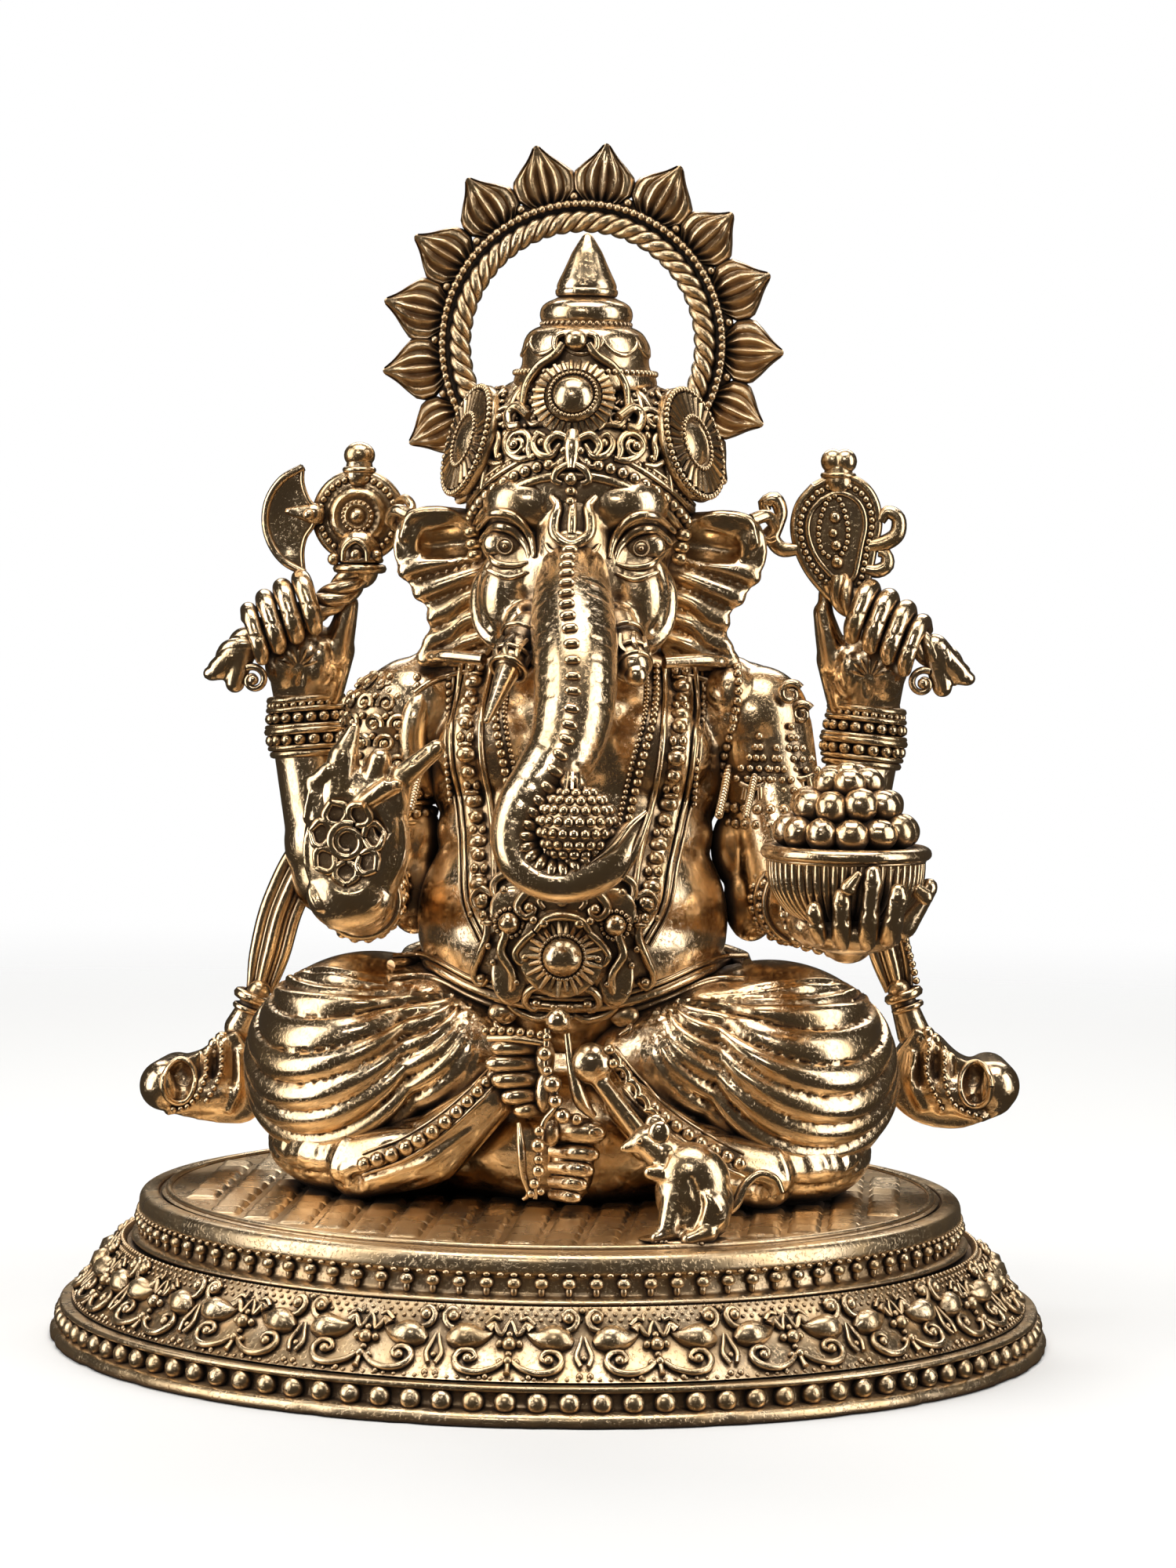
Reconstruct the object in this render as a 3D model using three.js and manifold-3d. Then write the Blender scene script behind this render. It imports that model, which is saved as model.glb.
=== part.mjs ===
// A seated elephant-headed deity statue with four arms, on a round two-tier plinth.
// Millimetres, +Z up. The figure faces -Y, and the origin is the centre of the underside.
// Right and left are the figure's own, so its right side is at -X.
import * as THREE from 'three';
import { mergeVertices } from 'three/addons/utils/BufferGeometryUtils.js';
import Module from 'manifold-3d';

const wasm = await Module();
wasm.setup();

// Driving dimensions
const GAP = 0.35; // glue line between neighbouring castings
const SMOOTHING = 0.1; // facets flatter than this are run together
const FIGURE_X = 2.5; // the figure sits a little off the plinth's centre
const FOOT_R = 63.7;
const FOOT_TOP = 4.7;
const FRIEZE_TOP = 12.0;
const FRIEZE_TOP_R = 53.8;
const DRUM_FLANGE_R = 53.5;
const DRUM_GROOVE_R = 51.6;
const DRUM_R = 52.3;
const DRUM_TOP = 18.5;
const MAT_R = 49.7;
const MAT_FLOOR = 17.9;
const MAT_TOP = 18.7;
const FELT_R = 57.7;
const FELT_THICK = 1.0;
const HALO = { x: -1.3, y: 16, z: 127.2, hole: 14.4, rope: 17.6, rim: 18.9, tip: 25.7 };
const HALO_THICK = 3.6;
const PETALS = 17;
const PETAL_LEAN = 6.5; // degrees from the top to the first petal
const ROUND = 36; // sides of the plinth's turned rings
const SIDES = 10; // sides of the rounded castings

const gold = new THREE.MeshStandardMaterial({ color: 0xb58a50, roughness: 0.28, metalness: 1 });
const felt = new THREE.MeshStandardMaterial({ color: 0x1d1a18, roughness: 0.95, metalness: 0 });

const statue = new THREE.Group();
const figure = new THREE.Group();
figure.position.x = FIGURE_X;
statue.add(figure);

const at = ([x, y, z]) => new THREE.Vector3(x, y, z);
const mirrored = ([x, y, z], side) => [x * side, y, z];
const rad = THREE.MathUtils.degToRad;

// Shapes, each a closed geometry in its group's frame

function ball(centre, [rx, ry, rz], turn = [0, 0, 0]) {
  return new THREE.SphereGeometry(1, SIDES, 6)
    .rotateX(Math.PI / 2)
    .scale(rx, ry, rz)
    .applyMatrix4(new THREE.Matrix4().makeRotationFromEuler(new THREE.Euler(...turn.map(rad))))
    .translate(...centre);
}

// A round-ended bar from a to b that tapers from radius ra to rb.
function bar(a, b, ra, rb = ra, sides = 6) {
  const along = at(b).sub(at(a));
  const profile = [];
  for (const [r, y, from] of [[ra, 0, -90], [rb, along.length(), 0]]) {
    for (let angle = from; angle <= from + 90; angle += 45) {
      const x = Math.abs(angle) === 90 ? 0 : r * Math.cos(rad(angle));
      profile.push(new THREE.Vector2(x, y + r * Math.sin(rad(angle))));
    }
  }
  const turn = new THREE.Quaternion().setFromUnitVectors(at([0, 1, 0]), along.normalize());
  return new THREE.LatheGeometry(profile, sides)
    .applyMatrix4(new THREE.Matrix4().makeRotationFromQuaternion(turn))
    .translate(...a);
}

// A round bar with flat ends swept through points, each point being [position, radius].
function sweep(...points) {
  const path = new THREE.CatmullRomCurve3(points.map(([spot]) => at(spot)));
  const steps = Math.ceil((points.length - 1) * 1.5);
  const { normals, binormals } = path.computeFrenetFrames(steps);
  const tube = new THREE.CylinderGeometry(1, 1, steps, 7, steps).translate(0, steps / 2, 0);
  const corners = tube.getAttribute('position');
  for (let i = 0; i < corners.count; i += 1) {
    const step = Math.round(corners.getY(i));
    const t = path.getUtoTmapping(step / steps) * (points.length - 1);
    const [before, after] = [points[Math.floor(t)][1], points[Math.ceil(t)][1]];
    const radius = THREE.MathUtils.lerp(before, after, t % 1);
    const corner = path.getPointAt(step / steps)
      .addScaledVector(normals[step], corners.getX(i) * radius)
      .addScaledVector(binormals[step], corners.getZ(i) * radius);
    corners.setXYZ(i, corner.x, corner.y, corner.z);
  }
  return tube;
}

// A profile of [radius, height] turned about Z.
function turned(profile, sides = 12) {
  const points = profile.map(([r, z]) => new THREE.Vector2(r, z));
  return new THREE.LatheGeometry(points, sides).rotateX(Math.PI / 2);
}

// A flat ring or disc of square section about Z.
function ring(inner, outer, low, high, sides = 12) {
  const walls = inner > 0
    ? [[inner, low], [outer, low], [outer, high], [inner, high], [inner, low]]
    : [[0, low], [outer, low], [outer, high], [0, high]];
  return turned(walls, sides);
}

// An outline drawn in X and Z, as thick as given from y backwards.
function plate(outline, y, thick) {
  return new THREE.ExtrudeGeometry(outline, { depth: thick, bevelEnabled: false, curveSegments: 24 })
    .rotateX(Math.PI / 2)
    .translate(0, y + thick, 0);
}

function outlineThrough(points) {
  const curve = new THREE.CatmullRomCurve3(points.map(([x, z]) => at([x, z, 0])), true);
  return new THREE.Shape(curve.getPoints(Math.round(points.length * 1.5)).map((p) => new THREE.Vector2(p.x, p.y)));
}

// Turns a geometry and moves it, with the turn in degrees.
function placed(geometry, position, turn = [0, 0, 0]) {
  return geometry
    .applyMatrix4(new THREE.Matrix4().makeRotationFromEuler(new THREE.Euler(...turn.map(rad))))
    .translate(...position);
}

// Solids

// The solid inside a closed geometry, with its surface moved outwards by swell.
function solidOf(geometry, swell = 0) {
  const bare = new THREE.BufferGeometry();
  bare.setAttribute('position', geometry.getAttribute('position').clone());
  if (geometry.index) bare.setIndex(geometry.index.clone());
  const merged = mergeVertices(bare, 1e-3);
  const corners = merged.index.array;
  const kept = [];
  for (let i = 0; i < corners.length; i += 3) {
    const [a, b, c] = corners.slice(i, i + 3);
    if (a !== b && b !== c && c !== a) kept.push(a, b, c);
  }
  merged.setIndex(kept);
  const points = merged.getAttribute('position').array;
  let volume = 0;
  for (let i = 0; i < kept.length; i += 3) {
    const [a, b, c] = [0, 1, 2].map((k) => at(points.slice(kept[i + k] * 3, kept[i + k] * 3 + 3)));
    volume += a.dot(b.cross(c)) / 6;
  }
  if (volume < 0) {
    for (let i = 0; i < kept.length; i += 3) [kept[i], kept[i + 1]] = [kept[i + 1], kept[i]];
    merged.setIndex(kept);
  }
  if (swell > 0) {
    merged.computeVertexNormals();
    const normals = merged.getAttribute('normal').array;
    for (let i = 0; i < points.length; i += 1) points[i] += normals[i] * swell;
  }
  return new wasm.Manifold(new wasm.Mesh({
    numProp: 3,
    vertProperties: Float32Array.from(points),
    triVerts: Uint32Array.from(merged.index.array),
  }));
}

const joined = (solids) => solids.reduce((a, b) => a.add(b));
const biggest = (solids) => solids.reduce((a, b) => (a.volume() > b.volume() ? a : b));

function boxesMeet(a, b) {
  const [p, q] = [a.boundingBox(), b.boundingBox()];
  return [0, 1, 2].every((k) => p.min[k] <= q.max[k] && q.min[k] <= p.max[k]);
}

function addMesh(group, name, solid, material) {
  const { vertProperties, triVerts } = solid.getMesh();
  const geometry = new THREE.BufferGeometry();
  geometry.setAttribute('position', new THREE.BufferAttribute(Float32Array.from(vertProperties), 3));
  geometry.setIndex(new THREE.BufferAttribute(Uint32Array.from(triVerts), 1));
  geometry.computeVertexNormals();
  const mesh = new THREE.Mesh(geometry, material);
  mesh.name = name;
  group.add(mesh);
}

// The figure's pieces keep a glue line to every piece made before them.
const floor = new THREE.BoxGeometry(140, 140, 40).translate(0, 0, MAT_TOP + GAP - 20);
const earlier = [solidOf(floor)];

function casting(name, ...shapes) {
  const all = shapes.flat();
  let solid = joined(all.map((shape) => solidOf(shape)));
  for (const other of earlier) {
    if (boxesMeet(solid, other)) solid = solid.subtract(other);
  }
  addMesh(figure, name, biggest(solid.simplify(SMOOTHING).decompose()), gold);
  earlier.push(joined(all.map((shape) => solidOf(shape, GAP))));
}

// Plinth

function plinth() {
  const foot = [[0, FELT_THICK + GAP], [FELT_R + GAP, FELT_THICK + GAP], [FELT_R + GAP, 0],
    [FOOT_R, 0], [FOOT_R, FOOT_TOP], [0, FOOT_TOP]];
  const frieze = [[0, FOOT_TOP + GAP], [FOOT_R - 2.2, FOOT_TOP + GAP], [FOOT_R - 3.4, 7.4],
    [FRIEZE_TOP_R + 1.4, FRIEZE_TOP - 1], [FRIEZE_TOP_R, FRIEZE_TOP], [0, FRIEZE_TOP]];
  const drum = [[0, FRIEZE_TOP + GAP], [DRUM_FLANGE_R, FRIEZE_TOP + GAP], [DRUM_FLANGE_R, 13.5],
    [DRUM_GROOVE_R, 14], [DRUM_R, 15.7], [DRUM_R, DRUM_TOP],
    [MAT_R + GAP, DRUM_TOP], [MAT_R + GAP, MAT_FLOOR], [0, MAT_FLOOR]];
  for (const [name, profile] of Object.entries({ plinth_foot: foot, plinth_frieze: frieze, plinth_drum: drum })) {
    addMesh(statue, name, solidOf(turned(profile, ROUND)), gold);
  }
  addMesh(statue, 'seat_mat', solidOf(ring(0, MAT_R, MAT_FLOOR + GAP, MAT_TOP, ROUND)), gold);
  addMesh(statue, 'underside_felt', solidOf(ring(0, FELT_R, 0, FELT_THICK, ROUND)), felt);
}

// Trunk of the body

function body() {
  casting('torso',
    ball([0, -3, 54], [20, 17, 18]),
    ball([0, 3, 74], [19.5, 13, 14]),
    ball([-20, 4, 79], [8, 8, 7]),
    ball([20, 4, 79], [8, 8, 7]),
    bar([-21.4, 2, 85.6], [-12, 1, 85.4], 1.8, 2.4),
    bar([12, 1, 85.4], [21.4, 2, 85.6], 2.4, 1.8));
  casting('hips', ball([0, 7, 33], [27, 17, 15]), ball([0, -8, 27], [15, 9, 9]));
  for (const [name, side] of [['right', -1], ['left', 1]]) {
    casting(`${name}_leg`,
      ball(mirrored([25.5, -2, 33.5], side), [16.2, 17.5, 14.2]),
      bar(mirrored([22, -12, 28], side), mirrored([9, -15, 24.5], side), 7, 4.5));
  }
  casting('upper_foot', ball([-4.8, -20, 35.3], [4.6, 5, 6]));
  casting('lower_foot', ball([1.8, -19.5, 25.3], [4.2, 4.5, 5]));
}

// Head, with its trunk, ears and tusks

function head() {
  casting('head',
    ball([0, 1, 104], [13, 13.5, 12]),
    ball([0, -4, 97], [12, 12.5, 10]));
  casting('trunk', sweep(
    [[0.3, -15, 99], 5.2],
    [[1.1, -24, 91], 5.3],
    [[2.0, -29, 83.7], 5.1],
    [[1.1, -32, 77.2], 4.6],
    [[-1.9, -34.5, 72.3], 3.7],
    [[-4.5, -36, 67.6], 2.7],
    [[-3.4, -37, 63.4], 2.3],
    [[1.1, -38, 61.5], 2.2],
    [[6.1, -38, 63.7], 2.6],
    [[8.6, -37.6, 66.6], 1.8],
    [[11, -37, 68.7], 0.5]));
  casting('trunk_sweet', ball([2.6, -36.5, 68.6], [5.2, 4.6, 5.2]));
  for (const [name, side] of [['right', -1], ['left', 1]]) {
    const outline = outlineThrough([[11, 104], [16, 105.2], [21.5, 104.6], [22.8, 101], [20.5, 96],
      [17.9, 91.3], [19.6, 87], [16, 85], [11, 87], [10, 95]].map(([x, z]) => [x * side, z]));
    casting(`${name}_ear`, plate(outline, -1, 3.6));
  }
  casting('right_tusk', bar([-5, -19, 90], [-6.2, -21.5, 87], 2.6, 2.2), bar([-6.2, -21.5, 87], [-8.6, -27, 80], 1.7, 0.5));
  casting('left_tusk', bar([6.6, -17, 91], [8, -20, 87], 2.6, 2.2));
}

// Crown and halo

function crown() {
  casting('crown_band', placed(ring(12.2, 15.8, -2.2, 2.2), [0, 0.5, 106.8], [14, 0, 0]));
  casting('crown_dome', ball([0, 1, 108.5], [15.2, 14.4, 17.5]));
  casting('crown_tiers', turned([[0, 121], [8.4, 121], [8.6, 126.8], [6, 128.6], [6, 132.2], [4, 133.1], [0, 133.1]]));
  casting('crown_finial', turned([[0, 133.4], [3.9, 133.4], [3.9, 134.4], [0.6, 140], [0, 140.4]]));
  casting('crown_jewel', placed(ring(0, 5.2, -1.5, 1.5), [-0.3, -14.5, 119.5], [68, 0, 0]));
  for (const [name, side] of [['right', -1], ['left', 1]]) {
    casting(`${name}_crown_disc`, placed(ring(0, 7.6, -1.6, 1.6), mirrored([14.8, -1, 113.3], side), [0, 68 * side, 0]));
  }
}

function halo() {
  const turnToFace = [90, 0, 0];
  const { x, y, z, hole, rope, rim, tip } = HALO;
  casting('halo_bracket', bar([0, 8, 108], [x, y, z - rope + 0.5], 2.6, 1.5));
  casting('halo_ring', placed(ring(hole, rope, -HALO_THICK / 2, HALO_THICK / 2, 24), [x, y, z], turnToFace));
  const outline = new THREE.Shape();
  const spot = (radius, degrees) => [x + radius * Math.sin(rad(degrees)), z + radius * Math.cos(rad(degrees))];
  const step = 360 / PETALS;
  outline.moveTo(...spot(rim, PETAL_LEAN - step / 2));
  for (let i = 0; i < PETALS; i += 1) {
    const middle = PETAL_LEAN + i * step;
    outline.lineTo(...spot((rim + tip) / 2 + 0.6, middle - step * 0.4));
    outline.lineTo(...spot(tip, middle));
    outline.lineTo(...spot((rim + tip) / 2 + 0.6, middle + step * 0.4));
    if (i < PETALS - 1) outline.lineTo(...spot(rim, middle + step / 2));
  }
  outline.holes.push(new THREE.Path().absarc(x, z, rope + GAP, 0, Math.PI * 2));
  casting('halo_petals', plate(outline, y - 1.6, 3.2));
}

// Rear arms and what they hold

function rearArms() {
  for (const [name, side] of [['right', -1], ['left', 1]]) {
    const wrist = mirrored([36.8, 14, 78.5], side);
    casting(`${name}_rear_upper_arm`, bar(mirrored([20, 12, 79], side), mirrored([32.6, 13, 59], side), 5.8, 5));
    casting(`${name}_rear_forearm`, bar(mirrored([33.4, 13, 61], side), wrist, 5, 4.3));
    casting(`${name}_rear_bracelet`, placed(ring(3.6, 5.8, -3.6, 3.6), mirrored([36.5, 13.9, 76.8], side), [3, 10 * side, 0]));
  }
  casting('axe_handle', sweep([[-47.6, 8, 84.2], 1.3], [[-44.5, 8, 86.8], 3], [[-39, 8, 90], 1.8], [[-29.5, 9, 96.4], 1.8]));
  casting('axe_head',
    placed(ring(0, 6.2, -1.8, 1.8, 16), [-29.7, 10, 104.2], [90, 0, 0]),
    ball([-29.8, 10, 111.6], [2.1, 2.1, 2.1]),
    bar([-29.4, 9.6, 98], [-29.4, 9.6, 99], 2.6));
  const blade = outlineThrough([[-36, 104.4], [-37.4, 106.2], [-37.2, 110], [-40.8, 108.4], [-42.8, 104],
    [-41.6, 100.2], [-38.2, 97.4], [-37.8, 101], [-36.4, 103.2]]);
  casting('axe_blade', plate(blade, 9.1, 1.8));
  casting('noose_handle', sweep([[49, 7.5, 85.2], 1.3], [[46, 8, 87.6], 3], [[40, 8, 91], 1.8], [[36, 9, 94], 1.8]));
  const paisley = outlineThrough([[31.8, 111], [28, 108.8], [26.4, 104], [29.4, 97.8], [34.2, 93.6],
    [37.3, 95], [37.8, 103], [36.4, 108.6]]);
  casting('noose_head', plate(paisley, 8.2, 3.6), ball([32.4, 10, 112.6], [2.1, 2.1, 2.1]));
  for (const [name, side] of [['right', -1], ['left', 1]]) {
    casting(`${name}_rear_hand`,
      ball(mirrored([34.6, 11.8, 87], side), [5.6, 3.8, 6.4]),
      ball(mirrored([38.6, 9.2, 90.2], side), [5, 4.2, 4.6]));
  }
}

// Front arms, the raised hand and the bowl

function frontArms() {
  const elbow = [27.6, -2, 58];
  for (const [name, side] of [['right', -1], ['left', 1]]) {
    casting(`${name}_front_upper_arm`, bar(mirrored([25.4, 3, 78.5], side), mirrored(elbow, side), 7, 5.6));
    casting(`${name}_armlet`, placed(ring(5, 8.3, -2.6, 2.6), mirrored([26, 1.6, 73], side), [-12, 4 * side, 0]));
  }
  casting('right_front_forearm', bar([-27, -4, 57.6], [-22.6, -21, 56.4], 5.4, 4));
  casting('left_front_forearm', bar([27.6, -4, 57.2], [33, -20, 55.4], 5.4, 4.2));
  casting('right_front_hand',
    ball([-24.6, -26, 64], [6.7, 3.2, 9]),
    bar([-28.6, -25.6, 69], [-27.6, -25.2, 76], 1.5, 1),
    bar([-25.2, -25.4, 70], [-24, -24.8, 77.6], 1.6, 1.1),
    bar([-21.6, -25.4, 69], [-20.6, -24.8, 76], 1.6, 1.1),
    bar([-19.8, -26, 66], [-15, -26.6, 75], 1.7, 1));
  const bowl = [35, -30];
  casting('sweets_bowl', placed(turned([[0, 56.6], [4.5, 56.9], [8.2, 59.6], [9.4, 63.6], [10.2, 64.2], [10.2, 65.6], [0, 65.6]]), [...bowl, 0]));
  casting('sweets_heap', placed(turned([[0, 65.9], [8.8, 65.9], [8.6, 68.6], [6.2, 71.4], [3, 74], [0, 74.6]]), [...bowl, 0]));
  casting('left_front_hand', ball([35, -29.4, 55], [7.6, 8, 2.8]), bar([33.4, -22, 55], [34, -24, 55], 4));
}

// Dress and ornaments

function dress() {
  casting('waist_sash', placed(ring(16, 21.6, -1.6, 1.6), [0, -1.5, 47], [-14, 0, 0]));
  for (const [name, side] of [['right', -1], ['left', 1]]) {
    casting(`${name}_garland`, sweep(
      [mirrored([14.2, -6, 86.2], side), 1.9],
      [mirrored([14.2, -12.5, 77], side), 1.9],
      [mirrored([12.6, -17.5, 67], side), 2],
      [mirrored([10, -20.6, 59], side), 2.1]));
    casting(`${name}_scarf`, sweep(
      [mirrored([35.4, 11, 57.4], side), 2.2],
      [mirrored([40.6, 11.5, 48], side), 2.6],
      [mirrored([43, 12, 38], side), 3],
      [mirrored([43.8, 12, 31.6], side), 4.6],
      [mirrored([52, 11.5, 31], side), 3.8]));
  }
  const pendant = outlineThrough([[0, 60.4], [7, 59.6], [11.2, 55.6], [10.8, 49], [5.6, 47], [0, 44], [-5.6, 47],
    [-10.8, 49], [-11.2, 55.6], [-7, 59.6]]);
  casting('pendant', placed(plate(pendant, -22.5, 3), [0, 0, 0]));
  casting('girdle_tassel', sweep([[0.1, -24.5, 43], 2], [[0.3, -25, 36], 1.8], [[-2.6, -24, 22.6], 1.6]));
}

function mouse() {
  casting('mouse',
    ball([19.6, -41.5, 24], [5, 6, 5]),
    ball([16, -40, 28.6], [3, 3.4, 3.4]),
    bar([15, -41, 29.4], [12.6, -41, 31], 1.8, 1.2),
    bar([17.6, -44.6, 21.6], [17, -45.6, 20], 1.6),
    bar([22, -44.4, 21.6], [22.2, -45.4, 20], 1.6),
    sweep([[23, -39, 21.4], 1.3], [[27.4, -38.6, 22.4], 1.2], [[28.6, -38, 25.6], 1]));
}

plinth();
body();
head();
crown();
halo();
rearArms();
frontArms();
dress();
mouse();

export default statue;
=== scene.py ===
"""A seated elephant-headed deity in antique gold, on a round stepped plinth.

Castings are worked in millimetres in the figure's own frame, facing -Y, and put down in metres at the end.
Right and left are the figure's own, so its right side is at -X.
"""

from math import atan2, cos, dist, exp, hypot, pi, radians, sin, sqrt, tau

import bmesh
import bpy
import numpy as np
from mathutils import Euler, Matrix, Vector
from mathutils.bvhtree import BVHTree


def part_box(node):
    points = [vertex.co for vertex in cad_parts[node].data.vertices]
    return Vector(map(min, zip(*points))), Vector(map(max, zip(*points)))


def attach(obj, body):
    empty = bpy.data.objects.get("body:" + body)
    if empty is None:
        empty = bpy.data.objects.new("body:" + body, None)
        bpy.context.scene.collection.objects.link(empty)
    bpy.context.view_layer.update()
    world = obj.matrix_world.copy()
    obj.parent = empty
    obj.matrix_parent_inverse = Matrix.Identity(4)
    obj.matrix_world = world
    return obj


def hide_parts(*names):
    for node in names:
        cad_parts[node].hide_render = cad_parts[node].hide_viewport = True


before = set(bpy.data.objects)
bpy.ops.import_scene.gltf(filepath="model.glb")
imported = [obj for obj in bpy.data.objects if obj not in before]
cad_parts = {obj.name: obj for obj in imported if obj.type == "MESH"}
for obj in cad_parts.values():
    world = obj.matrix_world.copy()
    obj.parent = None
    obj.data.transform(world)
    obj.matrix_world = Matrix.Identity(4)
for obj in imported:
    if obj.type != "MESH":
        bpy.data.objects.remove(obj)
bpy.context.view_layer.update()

MM = 0.001


def cad(node):
    """A node's lowest and highest corners, in millimetres."""
    low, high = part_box(node)
    return low / MM, high / MM


FIGURE_X = (cad("crown_finial")[0].x + cad("crown_finial")[1].x) / 2
SEAT_Z = cad("seat_mat")[1].z
FOOT_R = cad("plinth_foot")[1].x
FOOT_TOP = cad("plinth_foot")[1].z
FRIEZE_TOP = cad("plinth_frieze")[1].z
DRUM_R = cad("plinth_drum")[1].x
DRUM_TOP = cad("plinth_drum")[1].z
MAT_R = cad("seat_mat")[1].x
FRIEZE_MID_R = 57.5
CROWN_LEAN = 0.35
PETALS = 17
FIRST_PETAL = 6.5
FELT_R = cad("underside_felt")[1].x
FELT_THICK = cad("underside_felt")[1].z


# ---------------------------------------------------------------- working the clay

def turned(degrees):
    return Euler([radians(d) for d in degrees]).to_matrix().to_4x4()


def spot(centre, scale=(1, 1, 1), turn=(0, 0, 0)):
    if isinstance(scale, (int, float)):
        scale = (scale,) * 3
    return Matrix.Translation(Vector(centre)) @ turned(turn) @ Matrix.Diagonal((*scale, 1))


def facing(centre, normal):
    turn = Vector(normal).normalized().to_track_quat("Z", "Y").to_matrix().to_4x4()
    return Matrix.Translation(Vector(centre)) @ turn


def lump(bm, centre, radii, turn=(0, 0, 0), rings=3):
    made = bmesh.ops.create_icosphere(bm, subdivisions=rings, radius=1)
    bmesh.ops.transform(bm, matrix=spot(centre, radii, turn), verts=made["verts"])


def limb(bm, a, b, ra, rb=None, sides=28):
    """A round-ended tapering limb from a to b."""
    rb = ra if rb is None else rb
    a, b = Vector(a), Vector(b)
    along = b - a
    made = bmesh.ops.create_cone(bm, cap_ends=True, segments=sides, radius1=ra, radius2=rb,
            depth=along.length)
    bmesh.ops.transform(bm, matrix=facing((a + b) / 2, along), verts=made["verts"])
    lump(bm, a, ra)
    lump(bm, b, rb)


def both(point, side):
    return (point[0] * side, *point[1:])


def sided(side, *rows):
    return [both(row, side) for row in rows]


def hoop(radius, height, thick, count):
    """A closed ring of rows about Z."""
    return [(radius * cos(a), radius * sin(a), height, thick) for a in np.linspace(0, tau, count)]


def gone_along(run):
    """Length run so far, at each row."""
    return np.r_[0, np.cumsum(np.linalg.norm(np.diff(run[:, :3], axis=0), axis=1))]


def across_run(run):
    """Directions along and across a run, square to Y."""
    way = np.gradient(run[:, :3], axis=0)
    way /= np.linalg.norm(way, axis=1)[:, None]
    across = np.cross(way, (0, 1, 0))
    return way, across / np.linalg.norm(across, axis=1)[:, None]


def flow(points, step=0.5):
    """A smooth run through points, each row x, y, z and half-width, as evenly spaced rows."""
    p = np.array(points, float)
    ends = np.vstack([2 * p[0] - p[1], p, 2 * p[-1] - p[-2]])
    rows = []
    for i in range(1, len(p)):
        a, b, c, d = ends[i - 1:i + 3]
        count = max(2, int(np.linalg.norm((c - b)[:3]) / step))
        t = np.linspace(0, 1, count, endpoint=False)[:, None]
        rows.append(0.5 * (2 * b + (c - a) * t + (2 * a - 5 * b + 4 * c - d) * t**2
                           + (3 * b - a - 3 * c + d) * t**3))
    rows.append(p[-1:])
    out = np.vstack(rows)
    out[:, 3] = np.maximum(out[:, 3], 0.02)
    return out


def wires(bm, runs, sides=2):
    """Round wires along runs, with half-width as radius."""
    curve = bpy.data.curves.new("wire", "CURVE")
    curve.dimensions = "3D"
    curve.bevel_depth = 1
    curve.bevel_resolution = sides
    curve.use_fill_caps = True
    for run in runs:
        spline = curve.splines.new("POLY")
        spline.points.add(len(run) - 1)
        spline.points.foreach_set("co", np.c_[run[:, :3], np.ones(len(run))].ravel())
        spline.points.foreach_set("radius", np.ascontiguousarray(run[:, 3]))
    holder = bpy.data.objects.new("wire", curve)
    mesh = bpy.data.meshes.new_from_object(holder)
    bm.from_mesh(mesh)
    bpy.data.meshes.remove(mesh)
    bpy.data.objects.remove(holder)
    bpy.data.curves.remove(curve)


def wire(bm, points, sides=2, step=0.4):
    wires(bm, [flow(points, step)], sides)


def as_mesh(bm):
    mesh = bpy.data.meshes.new("clay")
    bm.to_mesh(mesh)
    bm.free()
    return mesh


def join(bm, other):
    mesh = as_mesh(other)
    bm.from_mesh(mesh)
    bpy.data.meshes.remove(mesh)


def slab(points, y, thick):
    """A plate with an outline in x and z, from y back by its thickness."""
    bm = bmesh.new()
    rows = flow([(x, 0, z, 1) for x, z in points + points[:1]], 0.8)[:-1]
    face = bm.faces.new([bm.verts.new((r[0], y, r[2])) for r in rows])
    made = bmesh.ops.extrude_face_region(bm, geom=[face], use_keep_orig=True)
    bmesh.ops.translate(bm, vec=(0, thick, 0),
                        verts=[g for g in made["geom"] if isinstance(g, bmesh.types.BMVert)])
    bmesh.ops.triangulate(bm, faces=bm.faces)
    bmesh.ops.recalc_face_normals(bm, faces=bm.faces)
    return bm


def stamp(bm, shape, matrices):
    """A copy of a small shape at each matrix."""
    for matrix in matrices:
        copy = shape.copy()
        copy.transform(matrix)
        bm.from_mesh(copy)
        bpy.data.meshes.remove(copy)


def held(a, b, share, rows):
    """Rows worked about Z, set about the line from a to b."""
    a, b = Vector(a), Vector(b)
    hold = facing(a + (b - a) * share, b - a)
    return [(*(hold @ Vector(row[:3])), row[3]) for row in rows]


def make_bead(rings=2):
    bm = bmesh.new()
    bmesh.ops.create_icosphere(bm, subdivisions=rings, radius=1)
    return as_mesh(bm)


BEAD = make_bead()
FINE_BEAD = make_bead(3)


def beads(bm, spots, shape=None):
    """Round beads, each given as x, y, z, radius."""
    stamp(bm, shape or BEAD, [spot(s[:3], s[3]) for s in spots])


def bead_run(bm, points, pitch=1.05, shape=None):
    """Beads touching along a run, with half-width as bead radius."""
    run = flow(points, 0.1)
    gone = gone_along(run)
    place, found = 0.0, []
    while place <= gone[-1]:
        row = [np.interp(place, gone, run[:, k]) for k in range(4)]
        found.append(row)
        place += 2 * row[3] * pitch
    beads(bm, found, shape)
    return found


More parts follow.
